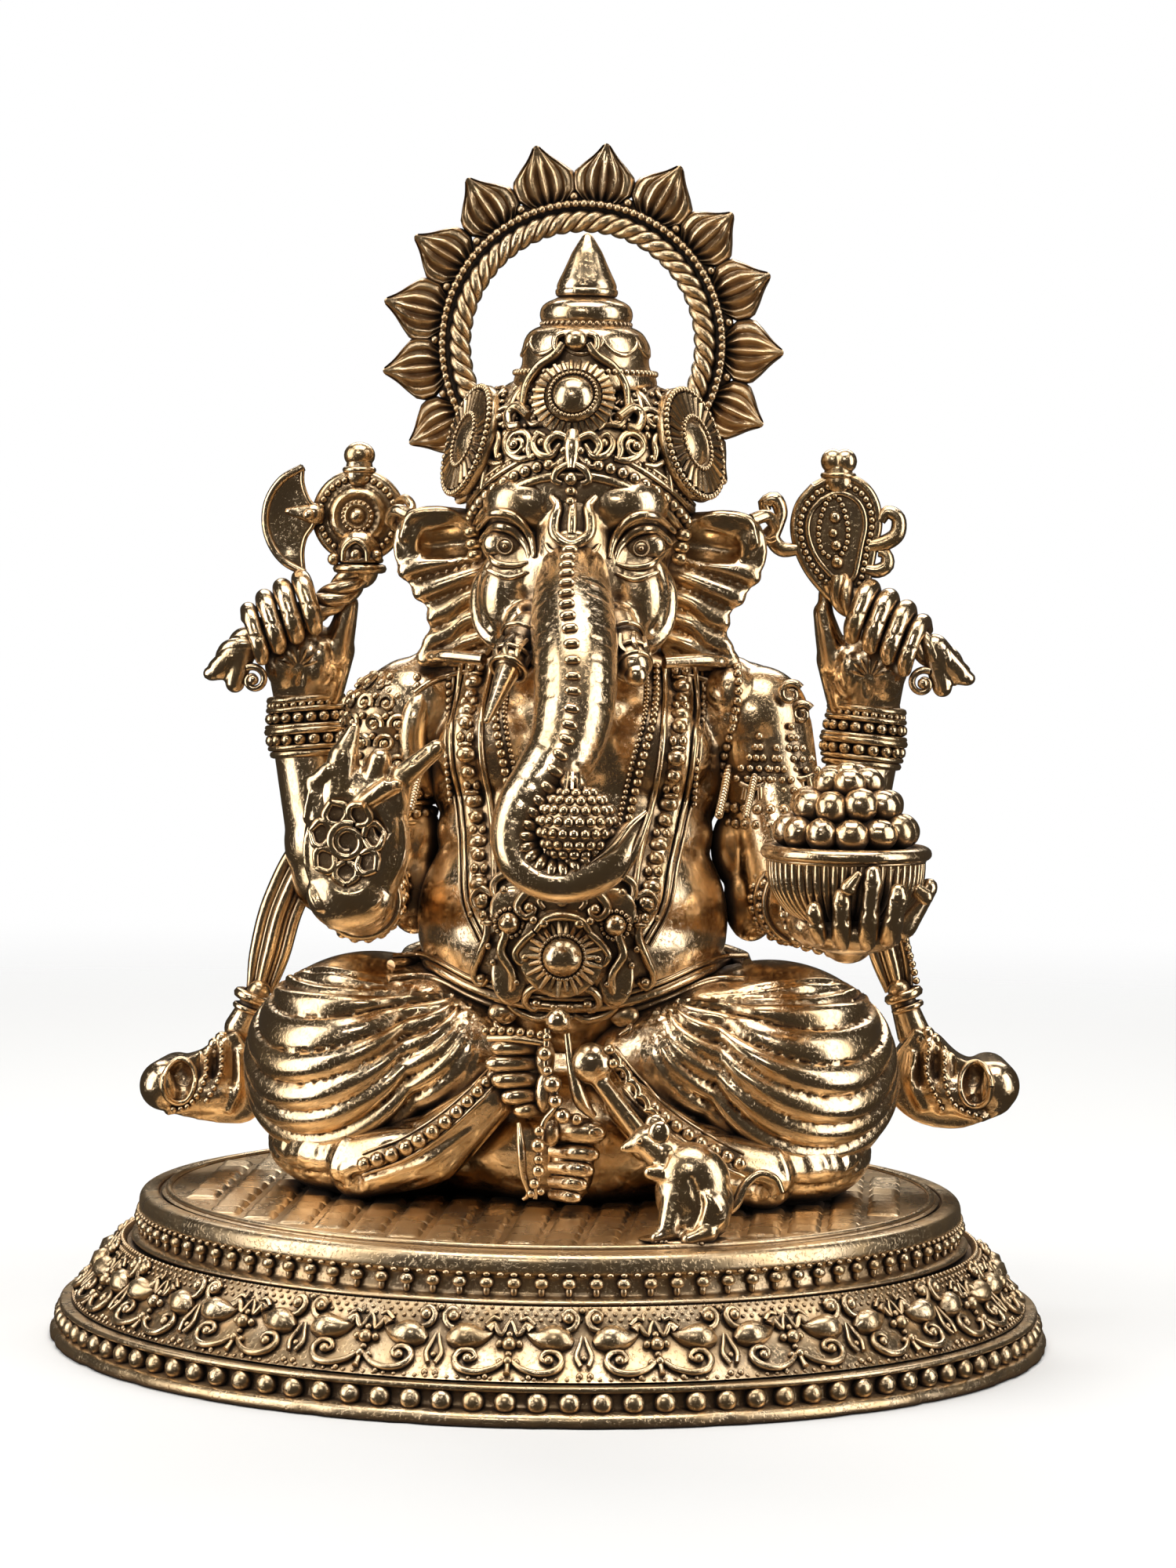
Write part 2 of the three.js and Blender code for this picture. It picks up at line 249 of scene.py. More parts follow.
class Clay:
    """Lumps run together into one skin, which strokes then raise and press."""

    def __init__(self, bm, voxel, relax=3):
        holder = bpy.data.objects.new("clay", as_mesh(bm))
        bpy.context.scene.collection.objects.link(holder)
        skin = holder.modifiers.new("skin", "REMESH")
        skin.mode = "VOXEL"
        skin.voxel_size = voxel
        if relax:
            ease = holder.modifiers.new("ease", "SMOOTH")
            ease.factor = 0.5
            ease.iterations = relax
        bpy.context.view_layer.update()
        made = holder.evaluated_get(bpy.context.evaluated_depsgraph_get())
        self.mesh = bpy.data.meshes.new_from_object(made)
        bare = holder.data
        bpy.data.objects.remove(holder)
        bpy.data.meshes.remove(bare)
        self.read()

    def read(self):
        count = len(self.mesh.vertices)
        self.co = np.empty(count * 3, np.float32)
        self.mesh.vertices.foreach_get("co", self.co)
        self.co = self.co.reshape(-1, 3).astype(float)
        self.out = np.empty(count * 3, np.float32)
        self.mesh.vertex_normals.foreach_get("vector", self.out)
        self.out = self.out.reshape(-1, 3).astype(float)

    def write(self):
        self.mesh.vertices.foreach_set("co", self.co.astype(np.float32).ravel())
        self.mesh.update()
        self.read()

    def stroke(self, points, height, sharp=1.0, mirror=False):
        """Raises the skin by height along a run (presses it, if negative), fading over the half-width."""
        runs = [flow(points, 0.35)]
        if mirror:
            runs.append(runs[0] * [-1, 1, 1, 1])
        for run in runs:
            widest = run[:, 3].max()
            low, high = run[:, :3].min(0) - widest, run[:, :3].max(0) + widest
            near = np.flatnonzero(((self.co > low) & (self.co < high)).all(1))
            if not len(near):
                continue
            gap = np.linalg.norm(self.co[near][:, None] - run[None, :, :3], axis=2) / run[None, :, 3]
            which = gap.argmin(1)
            share = np.clip(gap[np.arange(len(near)), which], 0, 1)
            rise = (0.5 + 0.5 * np.cos(np.pi * share)) ** sharp * run[which, 3] / widest
            self.co[near] += self.out[near] * (height * rise)[:, None]

    def skin(self):
        """What a ray can hit."""
        self.write()
        bm = bmesh.new()
        bm.from_mesh(self.mesh)
        tree = BVHTree.FromBMesh(bm)
        bm.free()
        return tree

    def into(self, bm):
        self.write()
        bm.from_mesh(self.mesh)
        bpy.data.meshes.remove(self.mesh)

    def cast(self):
        bm = bmesh.new()
        self.into(bm)
        return bm


def bed(skins, start, aim):
    """Where a ray from start along aim first lands on any of the skins."""
    found = [skin.ray_cast(Vector(start), Vector(aim)) for skin in skins]
    found = [(far, place) for place, _, _, far in found if place is not None]
    return min(found, key=lambda hit: hit[0])[1] if found else None


def laid(points, skins, lift=0.0, back=-20.0):
    """Rows x, z, half-width laid on the front of skins; lift is a share of the half-width."""
    rows = flow([(x, 0, z, r) for x, z, r in points], 0.4)
    hits = [bed(skins, (row[0], -90, row[2]), (0, 1, 0)) for row in rows]
    last = next((hit.y for hit in hits if hit), back)
    for row, hit in zip(rows, hits):
        last = hit.y if hit else last
        row[1] = last - lift * row[3]
    soft = rows.copy()
    for i in range(1, len(rows) - 1):
        soft[i, 1] = rows[max(0, i - 2):i + 3, 1].mean()
    return soft


def front(x, z, skins, back=-20):
    """The place straight in front of x and z on the skins."""
    place = bed(skins, (x, -90, z), (0, 1, 0))
    return place if place else Vector((x, back, z))


def curl(centre, size, begin, turns, hand=1, thick=0.4, close=0.25, squash=1.0):
    """A scroll in two directions: rows u, v, half-width winding from the rim into the eye."""
    rows = []
    count = max(8, int(14 * turns))
    for i in range(count + 1):
        t = i / count
        angle = radians(begin) + hand * t * turns * 2 * pi
        reach = size * ((1 - t) + close * t)
        rows.append((centre[0] + reach * cos(angle), centre[1] + squash * reach * sin(angle),
                     thick * (1 - 0.35 * t)))
    return rows


def spun(profile, steps=192):
    """A profile of radius, height pairs spun about Z, closed at the axis."""
    bm = bmesh.new()
    verts = [bm.verts.new((r, 0, z)) for r, z in profile]
    edges = [bm.edges.new(pair) for pair in zip(verts, verts[1:])]
    bmesh.ops.spin(bm, geom=verts + edges, cent=(0, 0, 0), axis=(0, 0, 1), angle=tau, steps=steps,
                   use_merge=True)
    bmesh.ops.remove_doubles(bm, verts=bm.verts, dist=1e-4)
    bmesh.ops.recalc_face_normals(bm, faces=bm.faces)
    return bm


def round_profile(points, reach=0.35, cuts=2):
    """Corners of an open profile rounded off."""
    for _ in range(cuts):
        new = [points[0]]
        for a, b in zip(points, points[1:]):
            length = dist(a, b)
            t = min(0.25, reach / max(length, 1e-6))
            new.append((a[0] + (b[0] - a[0]) * t, a[1] + (b[1] - a[1]) * t))
            new.append((b[0] + (a[0] - b[0]) * t, b[1] + (a[1] - b[1]) * t))
        new.append(points[-1])
        points = new
        reach /= 2
    return points


def finish(node_name, bm, material, shift=FIGURE_X, ending="casting"):
    """Puts a casting down in metres in place of its solid."""
    name = f"{node_name}_{ending}"
    bmesh.ops.transform(bm, matrix=Matrix.Scale(MM, 4) @ Matrix.Translation((shift, 0, 0)), verts=bm.verts)
    mesh = bpy.data.meshes.new(name)
    bm.to_mesh(mesh)
    bm.free()
    mesh.shade_smooth()
    mesh.set_sharp_from_angle(angle=radians(50))
    piece = bpy.data.objects.new(name, mesh)
    bpy.context.scene.collection.objects.link(piece)
    mesh.materials.append(material)
    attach(piece, "root")
    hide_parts(node_name)


# ---------------------------------------------------------------- finishes

def group(name, inputs, outputs):
    tree = bpy.data.node_groups.new(name, "ShaderNodeTree")
    for label, kind, value in inputs:
        socket = tree.interface.new_socket(label, in_out="INPUT", socket_type=kind)
        if value is not None:
            socket.default_value = value
    for label, kind in outputs:
        tree.interface.new_socket(label, in_out="OUTPUT", socket_type=kind)
    return tree, tree.nodes.new("NodeGroupInput"), tree.nodes.new("NodeGroupOutput")


def node(tree, kind, **settings):
    made = tree.nodes.new(kind)
    for key, value in settings.items():
        if key in ("operation", "blend_type", "data_type", "noise_dimensions", "only_local", "samples",
                   "clamp"):
            setattr(made, key, value)
        else:
            made.inputs[key.replace("_", " ")].default_value = value
    return made


def ramp(tree, source, low, high, bottom=0.0, top=1.0):
    made = tree.nodes.new("ShaderNodeMapRange")
    for key, value in (("From Min", low), ("From Max", high), ("To Min", bottom), ("To Max", top)):
        made.inputs[key].default_value = value
    tree.links.new(source, made.inputs["Value"])
    return made.outputs["Result"]


def maths(tree, operation, a, b):
    made = node(tree, "ShaderNodeMath", operation=operation)
    for socket, value in zip(made.inputs, (a, b)):
        if isinstance(value, (int, float)):
            socket.default_value = value
        else:
            tree.links.new(value, socket)
    return made.outputs[0]


def blend(tree, share, a, b):
    made = tree.nodes.new("ShaderNodeMix")
    made.data_type = "RGBA"
    tree.links.new(share, made.inputs[0])
    for socket, value in ((made.inputs[6], a), (made.inputs[7], b)):
        if isinstance(value, tuple):
            socket.default_value = value
        else:
            tree.links.new(value, socket)
    return made.outputs[2]


def hollow_group():
    """How sunken a place is, from 0 on the high spots to 1 in the hollows, with a broken edge."""
    tree, given, out = group("hollows",
                             [("Reach", "NodeSocketFloat", 0.003), ("Start", "NodeSocketFloat", 0.35),
                              ("End", "NodeSocketFloat", 0.8), ("Patchiness", "NodeSocketFloat", 0.25)],
                             [("Hollow", "NodeSocketFloat"), ("Crest", "NodeSocketFloat")])
    shade = node(tree, "ShaderNodeAmbientOcclusion", samples=6)
    tree.links.new(given.outputs["Reach"], shade.inputs["Distance"])
    place = tree.nodes.new("ShaderNodeTexCoord").outputs["Object"]
    patch = node(tree, "ShaderNodeTexNoise", Scale=420.0, Detail=4.0, Roughness=0.6)
    tree.links.new(place, patch.inputs["Vector"])
    wander = maths(tree, "MULTIPLY", maths(tree, "SUBTRACT", patch.outputs["Fac"], 0.5),
                   given.outputs["Patchiness"])
    shaded = maths(tree, "ADD", shade.outputs["AO"], wander)
    made = tree.nodes.new("ShaderNodeMapRange")
    made.interpolation_type = "SMOOTHSTEP"
    tree.links.new(shaded, made.inputs["Value"])
    tree.links.new(given.outputs["Start"], made.inputs["From Min"])
    tree.links.new(given.outputs["End"], made.inputs["From Max"])
    made.inputs["To Min"].default_value = 1
    made.inputs["To Max"].default_value = 0
    edge = ramp(tree, tree.nodes.new("ShaderNodeNewGeometry").outputs["Pointiness"], 0.51, 0.56)
    tree.links.new(made.outputs["Result"], out.inputs["Hollow"])
    tree.links.new(edge, out.inputs["Crest"])
    return tree


def cast_skin_group():
    """Heights of the cast surface: fine pits, brushed ripples and slow waviness."""
    tree, given, out = group("cast_skin",
                             [("Pits", "NodeSocketFloat", 0.4), ("Ripples", "NodeSocketFloat", 0.3),
                              ("Waves", "NodeSocketFloat", 0.5)],
                             [("Height", "NodeSocketFloat"), ("Smear", "NodeSocketFloat")])
    place = tree.nodes.new("ShaderNodeTexCoord").outputs["Object"]
    pits = node(tree, "ShaderNodeTexNoise", Scale=2200.0, Detail=3.0, Roughness=0.65)
    ripples = node(tree, "ShaderNodeTexNoise", Scale=900.0, Detail=2.0, Distortion=0.6)
    waves = node(tree, "ShaderNodeTexNoise", Scale=230.0, Detail=2.0, Roughness=0.45)
    long_way = tree.nodes.new("ShaderNodeMapping")
    long_way.inputs["Scale"].default_value = (1.0, 1.0, 0.28)
    tree.links.new(place, long_way.inputs["Vector"])
    tree.links.new(place, pits.inputs["Vector"])
    tree.links.new(long_way.outputs["Vector"], ripples.inputs["Vector"])
    tree.links.new(place, waves.inputs["Vector"])
    pit = ramp(tree, pits.outputs["Fac"], 0.3, 0.46)
    height = maths(tree, "MULTIPLY", pit, given.outputs["Pits"])
    height = maths(tree, "ADD", height, maths(tree, "MULTIPLY", ripples.outputs["Fac"],
            given.outputs["Ripples"]))
    height = maths(tree, "ADD", height, maths(tree, "MULTIPLY", waves.outputs["Fac"], given.outputs["Waves"]))
    tree.links.new(height, out.inputs["Height"])
    tree.links.new(waves.outputs["Fac"], out.inputs["Smear"])
    return tree


HOLLOWS = hollow_group()
CAST_SKIN = cast_skin_group()


def plated(name, bright, deep, polish, hollow, skin, depth=0.00006):
    """Gold plating, bright where it was rubbed and dark where the patina was left."""
    material = bpy.data.materials.new(name)
    material.use_nodes = True
    tree = material.node_tree
    shader = tree.nodes["Principled BSDF"]
    sunk = tree.nodes.new("ShaderNodeGroup")
    sunk.node_tree = HOLLOWS
    for key, value in hollow.items():
        sunk.inputs[key].default_value = value
    cast = tree.nodes.new("ShaderNodeGroup")
    cast.node_tree = CAST_SKIN
    for key, value in skin.items():
        cast.inputs[key].default_value = value
    tone = blend(tree, ramp(tree, cast.outputs["Smear"], 0.35, 0.65), bright,
                 tuple(c * f for c, f in zip(bright, (0.93, 0.86, 0.74, 1))))
    amber = blend(tree, ramp(tree, sunk.outputs["Hollow"], 0.0, 0.55), tone, (0.40, 0.21, 0.085, 1))
    colour = blend(tree, ramp(tree, sunk.outputs["Hollow"], 0.45, 1.0), amber, deep)
    tree.links.new(colour, shader.inputs["Base Color"])
    tree.links.new(ramp(tree, sunk.outputs["Hollow"], 0.55, 1.0, 1.0, 0.25), shader.inputs["Metallic"])
    rough = maths(tree, "ADD", ramp(tree, sunk.outputs["Hollow"], 0.0, 1.0, polish, 0.6),
                  ramp(tree, cast.outputs["Smear"], 0.3, 0.7, -0.03, 0.06))
    tree.links.new(rough, shader.inputs["Roughness"])
    bump = node(tree, "ShaderNodeBump", Strength=0.55, Distance=depth)
    tree.links.new(cast.outputs["Height"], bump.inputs["Height"])
    tree.links.new(bump.outputs["Normal"], shader.inputs["Normal"])
    return material


GOLD = plated("antique_gold_polished", (0.80, 0.61, 0.395, 1), (0.022, 0.013, 0.008, 1), 0.17,
              {"Reach": 0.0026, "Start": 0.36, "End": 0.80, "Patchiness": 0.24},
              {"Pits": 0.5, "Ripples": 0.35, "Waves": 1.0})
CHASED = plated("antique_gold_chased", (0.78, 0.59, 0.37, 1), (0.018, 0.012, 0.008, 1), 0.2,
                {"Reach": 0.0021, "Start": 0.34, "End": 0.78, "Patchiness": 0.25},
                {"Pits": 0.55, "Ripples": 0.4, "Waves": 0.6})
BASE = plated("antique_gold_base", (0.76, 0.58, 0.37, 1), (0.02, 0.014, 0.01, 1), 0.27,
              {"Reach": 0.0024, "Start": 0.34, "End": 0.78, "Patchiness": 0.3},
              {"Pits": 0.9, "Ripples": 0.6, "Waves": 0.8})


def felt_finish():
    material = bpy.data.materials.new("black_felt")
    material.use_nodes = True
    tree = material.node_tree
    shader = tree.nodes["Principled BSDF"]
    place = tree.nodes.new("ShaderNodeTexCoord").outputs["Object"]
    fibres = node(tree, "ShaderNodeTexNoise", Scale=1500.0, Detail=5.0, Roughness=0.7)
    tree.links.new(place, fibres.inputs["Vector"])
    tree.links.new(blend(tree, fibres.outputs["Fac"], (0.012, 0.011, 0.01, 1), (0.045, 0.042, 0.038, 1)),
                   shader.inputs["Base Color"])
    shader.inputs["Roughness"].default_value = 0.95
    shader.inputs["Sheen Weight"].default_value = 0.4
    bump = node(tree, "ShaderNodeBump", Strength=0.7, Distance=0.0002)
    tree.links.new(fibres.outputs["Fac"], bump.inputs["Height"])
    tree.links.new(bump.outputs["Normal"], shader.inputs["Normal"])
    return material


FELT = felt_finish()


# ---------------------------------------------------------------- plinth

def round_spots(count, radius, z, scale, lean=0.0, start=0.0):
    """Matrices round the plinth, each facing out, with local X along the rim and local Z up."""
    out = []
    for i in range(count):
        angle = tau * (i + start) / count
        out.append(Matrix.Rotation(angle, 4, "Z") @ spot((0, -radius, z), scale, (lean, 0, 0)))
    return out


def plinth_foot():
    lip = FOOT_R - 0.9
    outline = [(0, FELT_THICK + 0.35), (FELT_R + 0.35, FELT_THICK + 0.35), (FELT_R + 0.35, 0.1),
               (FELT_R + 0.8, 0), (FOOT_R - 0.2, 0), (FOOT_R, 0.35), (FOOT_R, 1.15), (FOOT_R - 0.5, 1.6),
               (lip - 1.2, 1.9), (lip - 1.4, 3.7), (lip - 0.3, 4), (lip - 0.3, FOOT_TOP - 0.1),
               (lip - 0.6, FOOT_TOP), (0, FOOT_TOP)]
    bm = spun(round_profile(outline, 0.25, 1), 240)
    rough = np.random.default_rng(7)
    phase = rough.uniform(0, tau, 5)
    for v in bm.verts:
        reach = hypot(v.co.x, v.co.y)
        if reach > FOOT_R - 0.6 and v.co.z < 1.5:
            angle = atan2(v.co.y, v.co.x)
            chip = sum(sin(k * angle + p) for k, p in zip((23, 41, 67, 97, 29), phase))
            push = 1 - 0.0016 * max(0, chip)
            v.co.x *= push
            v.co.y *= push
    stamp(bm, FINE_BEAD, round_spots(105, lip - 0.75, 2.75, (1.32, 1.15, 1.28)))
    finish("plinth_foot", bm, BASE, shift=0)


def frieze_spot(u, v, lift):
    """A place on the sloping frieze: u round the middle line, v up the slope, lift off the face."""
    low, high = Vector((FOOT_R - 2.6, 0, FOOT_TOP + 0.2)), Vector((DRUM_R + 1.5, 0, FRIEZE_TOP))
    slope = high - low
    along = slope.normalized()
    out = Vector((along.z, 0, -along.x))
    sag = -0.55 * sin(pi * min(max(v / slope.length, 0), 1))
    place = low + along * v + out * (lift + sag)
    angle = u / FRIEZE_MID_R - pi / 2
    return (place.x * cos(angle), place.x * sin(angle), place.z)


def plinth_frieze():
    units = 21
    pitch = tau * FRIEZE_MID_R / units
    low, high = frieze_spot(0, 0, 0), frieze_spot(0, 10.6, 0)
    outline = [(0, FOOT_TOP + 0.35), (-low[1] - 0.4, FOOT_TOP + 0.35)]
    outline += [(-frieze_spot(0, v, 0)[1], frieze_spot(0, v, 0)[2]) for v in np.linspace(0.1, 10.2, 11)]
    outline += [(-high[1] - 0.2, FRIEZE_TOP), (0, FRIEZE_TOP)]
    bm = spun(outline, 240)
    volutes = [
        [(0.5, 2.75, 0.3), (1.6, 1.75, 0.36), (3.4, 1.1, 0.42), (5.2, 1.5, 0.45), (6.1, 2.9, 0.42),
         (5.4, 4.1, 0.4),
         (4.2, 4.1, 0.36), (3.7, 3.3, 0.3), (4.3, 2.8, 0.28)],
        [(2.6, 6.9, 0.62), (1.9, 7.6, 0.42), (1.5, 6.9, 0.36), (0.9, 6.3, 0.3), (0.5, 7.4, 0.24),
         (0.1, 8.1, 0.16)],
        [(2.9, 7.6, 0.3), (2, 8.5, 0.28), (1.3, 8.2, 0.24), (1.2, 9, 0.16)],
        [(6.2, 6.8, 0.34), (7.5, 7.3, 0.4), (8, 8.5, 0.42), (7.2, 9.4, 0.38), (6.3, 8.9, 0.32),
         (6.8, 8.2, 0.28)],
        [(8.2, 2.2, 0.3), (7.7, 3.6, 0.32), (8.1, 5, 0.26), (8.4, 6.2, 0.16)],
    ]
    leaf = [(7.4, 5.4, 0.5), (6.6, 5.7, 1.35), (5.4, 6, 1.75), (4.1, 6.1, 1.45), (3, 6.3, 0.85),
            (2, 6.9, 0.3)]
    scrolls = [sided(side, *rows) for side in (-1, 1) for rows in volutes]
    leaves = [sided(side, *leaf) for side in (-1, 1)]
    scrolls.append([(0, 2.9, 0.34), (0, 1.8, 0.3), (0, 0.9, 0.42)])
    runs, blobs = [], []
    for unit in range(units):
        centre = unit * pitch
        for rows in scrolls:
            run = flow([(u, v, 0, r) for u, v, r in rows], 0.45)
            runs.append(np.array([(*frieze_spot(centre + u, v, 0.35 + 0.3 * r), r) for u, v, _, r in run]))
        for rows in leaves:
            run = flow([(u, v, 0, r) for u, v, r in rows], 0.4)
            runs.append(np.array([(*frieze_spot(centre + u, v, 0.15), r) for u, v, _, r in run]))
        for side in (-1, 1):
            blobs += [(centre + side * 4.6, 3, 0.5, 0.62), (centre + side * 6.9, 8.4, 0.55, 0.72),
                      (centre + side * 0.95, 2.8, 0.35, 0.42), (centre + side * 1.15, 5.2, 0.4, 0.5),
                      (centre + side * 2.4, 0.7, 0.1, 0.36), (centre + side * 8, 1, 0.1, 0.4)]
        blobs += [(centre, 5.1, 0.6, 0.85), (centre, 2.8, 0.6, 0.55), (centre, 6.4, 0.4, 0.45),
                  (centre, 3.9, 0.3, 0.42), (centre + pitch / 2, 3.4, 0.3, 0.4),
                  (centre + pitch / 2, 9.5, 0.3, 0.42)]
    wires(bm, runs, 2)
    beads(bm, [(*frieze_spot(u, v, lift), r) for u, v, lift, r in blobs])
    grains = []
    count = 300
    for row, v in enumerate((9.95, 9.2, 8.45, 0.5)):
        for i in range(count):
            u = tau * FRIEZE_MID_R * (i + 0.5 * (row % 2)) / count
            grains.append((*frieze_spot(u, v, 0.02), 0.3))
    tiny = make_bead(1)
    beads(bm, grains, tiny)
    finish("plinth_frieze", bm, BASE, shift=0)


def plinth_drum():
    groove = DRUM_R - 1.55
    outline = [(0, FRIEZE_TOP + 0.35), (DRUM_R - 0.5, FRIEZE_TOP + 0.35), (DRUM_R, FRIEZE_TOP + 0.6),
               (DRUM_R, FRIEZE_TOP + 0.95), (DRUM_R - 0.5, FRIEZE_TOP + 1.25), (groove, FRIEZE_TOP + 1.5),
               (groove, FRIEZE_TOP + 3.6), (DRUM_R - 1.2, FRIEZE_TOP + 3.9),
               (DRUM_R - 0.9, FRIEZE_TOP + 4.3), (DRUM_R - 1, DRUM_TOP - 0.7),
               (DRUM_R - 1.6, DRUM_TOP - 0.12), (MAT_R + 0.9, DRUM_TOP), (MAT_R + 0.35, DRUM_TOP - 0.15),
               (MAT_R + 0.35, DRUM_TOP - 0.6), (0, DRUM_TOP - 0.6)]
    bm = spun(round_profile(outline, 0.3, 2), 240)
    mid = FRIEZE_TOP + 2.55
    stamp(bm, BEAD, round_spots(102, groove + 0.45, mid + 0.45, (0.92, 0.8, 0.72)))
    stamp(bm, BEAD, round_spots(102, groove + 0.3, mid - 0.5, (0.42, 0.5, 0.85)))
    stamp(bm, BEAD, round_spots(204, DRUM_R - 0.95, FRIEZE_TOP + 4, (0.45, 0.35, 0.28)))
    finish("plinth_drum", bm, BASE, shift=0)


def woven_hump():
    bm = bmesh.new()
    bmesh.ops.create_grid(bm, x_segments=10, y_segments=10, size=1)
    for v in bm.verts:
        side = min(1, (1 - abs(v.co.x)) / 0.3) ** 0.6
        front_edge = min(1, (1 + v.co.y) / 0.2) ** 0.5
        back_edge = min(1, (1 - v.co.y) / 0.3) ** 0.5
        v.co.z = side * front_edge * back_edge * (0.66 + 0.34 * v.co.y)
    bmesh.ops.recalc_face_normals(bm, faces=bm.faces)
    if sum(f.normal.z for f in bm.faces) < 0:
        bmesh.ops.reverse_faces(bm, faces=bm.faces)
    return as_mesh(bm)


def seat_mat():
    bm = spun([(0, DRUM_TOP - 0.25), (MAT_R, DRUM_TOP - 0.25), (MAT_R, SEAT_Z - 0.35),
               (MAT_R - 0.4, SEAT_Z - 0.2), (0, SEAT_Z - 0.2)], 180)
    across, deep = 4.75, 5.4
    hump = woven_hump()
    places = []
    for column in range(-11, 12):
        for row in range(-10, 11):
            x = column * across
            y = (row + 0.5 * (column % 2)) * deep
            if hypot(x, y) < MAT_R - 3.0:
                places.append(spot((x, y, SEAT_Z - 0.28), (across * 0.44, deep * 0.4, 0.86)))
    stamp(bm, hump, places)
    edge = MAT_R - 0.9
    angle = np.linspace(0, tau, 181)
    wires(bm, [np.c_[edge * np.cos(angle), edge * np.sin(angle), np.full(181, SEAT_Z - 0.1),
                     np.full(181, 0.42)]], 2)
    finish("seat_mat", bm, BASE, shift=0)


def underside_felt():
    bm = spun([(0, 0), (FELT_R - 0.3, 0), (FELT_R, 0.3), (FELT_R, FELT_THICK - 0.1),
               (0, FELT_THICK - 0.1)], 120)
    finish("underside_felt", bm, FELT, shift=0, ending="disc")


plinth_foot()
plinth_frieze()
plinth_drum()
seat_mat()
underside_felt()


# ---------------------------------------------------------------- body and legs

def cut_below(bm, z):
    bmesh.ops.bisect_plane(bm, geom=bm.verts[:] + bm.edges[:] + bm.faces[:], plane_co=(0, 0, z),
            plane_no=(0, 0, 1), clear_inner=True)
    bmesh.ops.holes_fill(bm, edges=[e for e in bm.edges if e.is_boundary], sides=0)


def torso():
    bm = bmesh.new()
    lump(bm, (0, -3, 53.5), (19.8, 17.2, 17.5), rings=4)
    lump(bm, (0, -1, 64.5), (17.7, 13.6, 10), rings=4)
    lump(bm, (0, 2, 73), (19.5, 14, 15), rings=4)
    lump(bm, (-8.5, -5.5, 75), (9, 6, 7))
    lump(bm, (8.5, -5.5, 75), (9, 6, 7))
    lump(bm, (0, 6, 45), (21, 15, 10))
    for side in (-1, 1):
        lump(bm, both((20.5, 4, 79.5), side), (8.2, 7.8, 7.2))
        limb(bm, both((6, 1, 84.5), side), both((19.5, 3, 84), side), 4.2, 3.4)
    clay = Clay(bm, 0.5, 5)
    for side in (-1, 1):
        clay.stroke(sided(side, (20.5, -3, 62, 3.5), (18.5, -9, 60, 3), (16, -13, 61, 2)), -0.4)
        clay.stroke(sided(side, (18, -8, 68, 3), (12, -12, 67, 4), (5, -13, 68, 3)), -0.8)
    clay.stroke([(-14, 14, 70, 3), (0, 17, 66, 4), (14, 14, 70, 3)], -0.5)
    clay.stroke([(0, 17, 82, 2), (0, 18, 66, 3), (0, 20, 50, 2)], -1.1)
    skin = clay.skin()
    bm = clay.cast()
    cut_below(bm, SEAT_Z + 14)
    for side in (-1, 1):
        wire(bm, sided(side, (11.4, -7.6, 86.6, 0.8), (16, -5, 86.9, 0.85), (17.6, -3.4, 86.8, 0.85),
                       (18.9, -1.4, 86.5, 0.8), (21.8, 8, 85.4, 0.7), (14, 12, 87, 0.7), (0, 14, 88, 0.7)))
        wires(bm, [laid([(12 * side, 84.9, 0.42), (15.2 * side, 84.6, 0.42), (18.4 * side, 83.6, 0.4),
                         (20.6 * side, 82, 0.35)], [skin], 0.5)])
        for lane, reach in ((16.4, 0.5), (20.4, 0.55), (24, 0.5)):
            rows = []
            for z in (84, 79, 74, 68):
                place = front(side * lane * (1 - (84 - z) * 0.004), z, [skin])
                rows.append((place.x, place.y - 0.1, place.z, reach))
            bead_run(bm, rows, 1.05)
    finish("torso", bm, GOLD)
    return skin


def back_folds(clay, side):
    for z in (26, 31, 37):
        clay.stroke(sided(side, (8, 24, z, 2.2), (18, 22, z - 3, 2.6), (27, 14, z - 5, 2)), 0.8)


def hips():
    bm = bmesh.new()
    lump(bm, (0, 7, 33), (27, 17, 14.5), rings=4)
    lump(bm, (0, -9, 26), (15, 9.5, 8.5))
    lump(bm, (0, 2, 24), (26, 18, 8))
    clay = Clay(bm, 0.6, 4)
    for side in (-1, 1):
        back_folds(clay, side)
    bm = clay.cast()
    cut_below(bm, SEAT_Z + 0.05)
    finish("hips", bm, GOLD)


def pleats(clay, side, near, far, depth=1.12):
    """Rounded pleats gathered at the lap and running round the knee, deepest across its front."""
    near, far = (np.array(both(p, side), float) for p in (near, far))
    axis = (far - near) / np.linalg.norm(far - near)
    up = np.array((0.0, 0.0, 1.0))
    up -= axis * up.dot(axis)
    up /= np.linalg.norm(up)
    ahead = np.cross(axis, up) * side
    off = clay.co - near
    along = off @ axis
    off = off - np.outer(along, axis)
    angle = np.degrees(np.arctan2(off @ up, off @ ahead))
    span = np.linalg.norm(far - near)
    share = np.clip(along / span, 0, 1)
    angle = angle + 5 * np.sin(share * pi) - 3.0 * np.sin(np.radians(angle) * 4 + 1)
    lane = (angle + 400) / 10.6
    phase = lane % 1
    ridge = np.abs(np.sin(np.pi * phase)) ** 0.62 - 0.62
    bias = 0.82 + 0.3 * np.sin(np.floor(lane) * 2.4)
    fade = np.clip(along / 7, 0, 1) * np.clip((span + 3 - along) / 9, 0, 1)
    top = np.clip((34 - angle) / 26, 0, 1)
    under = np.clip((angle + 118) / 16, 0, 1)
    clay.co += clay.out * (depth * ridge * bias * fade * np.where(angle > 0, top, 1) * under)[:, None]
    clay.write()


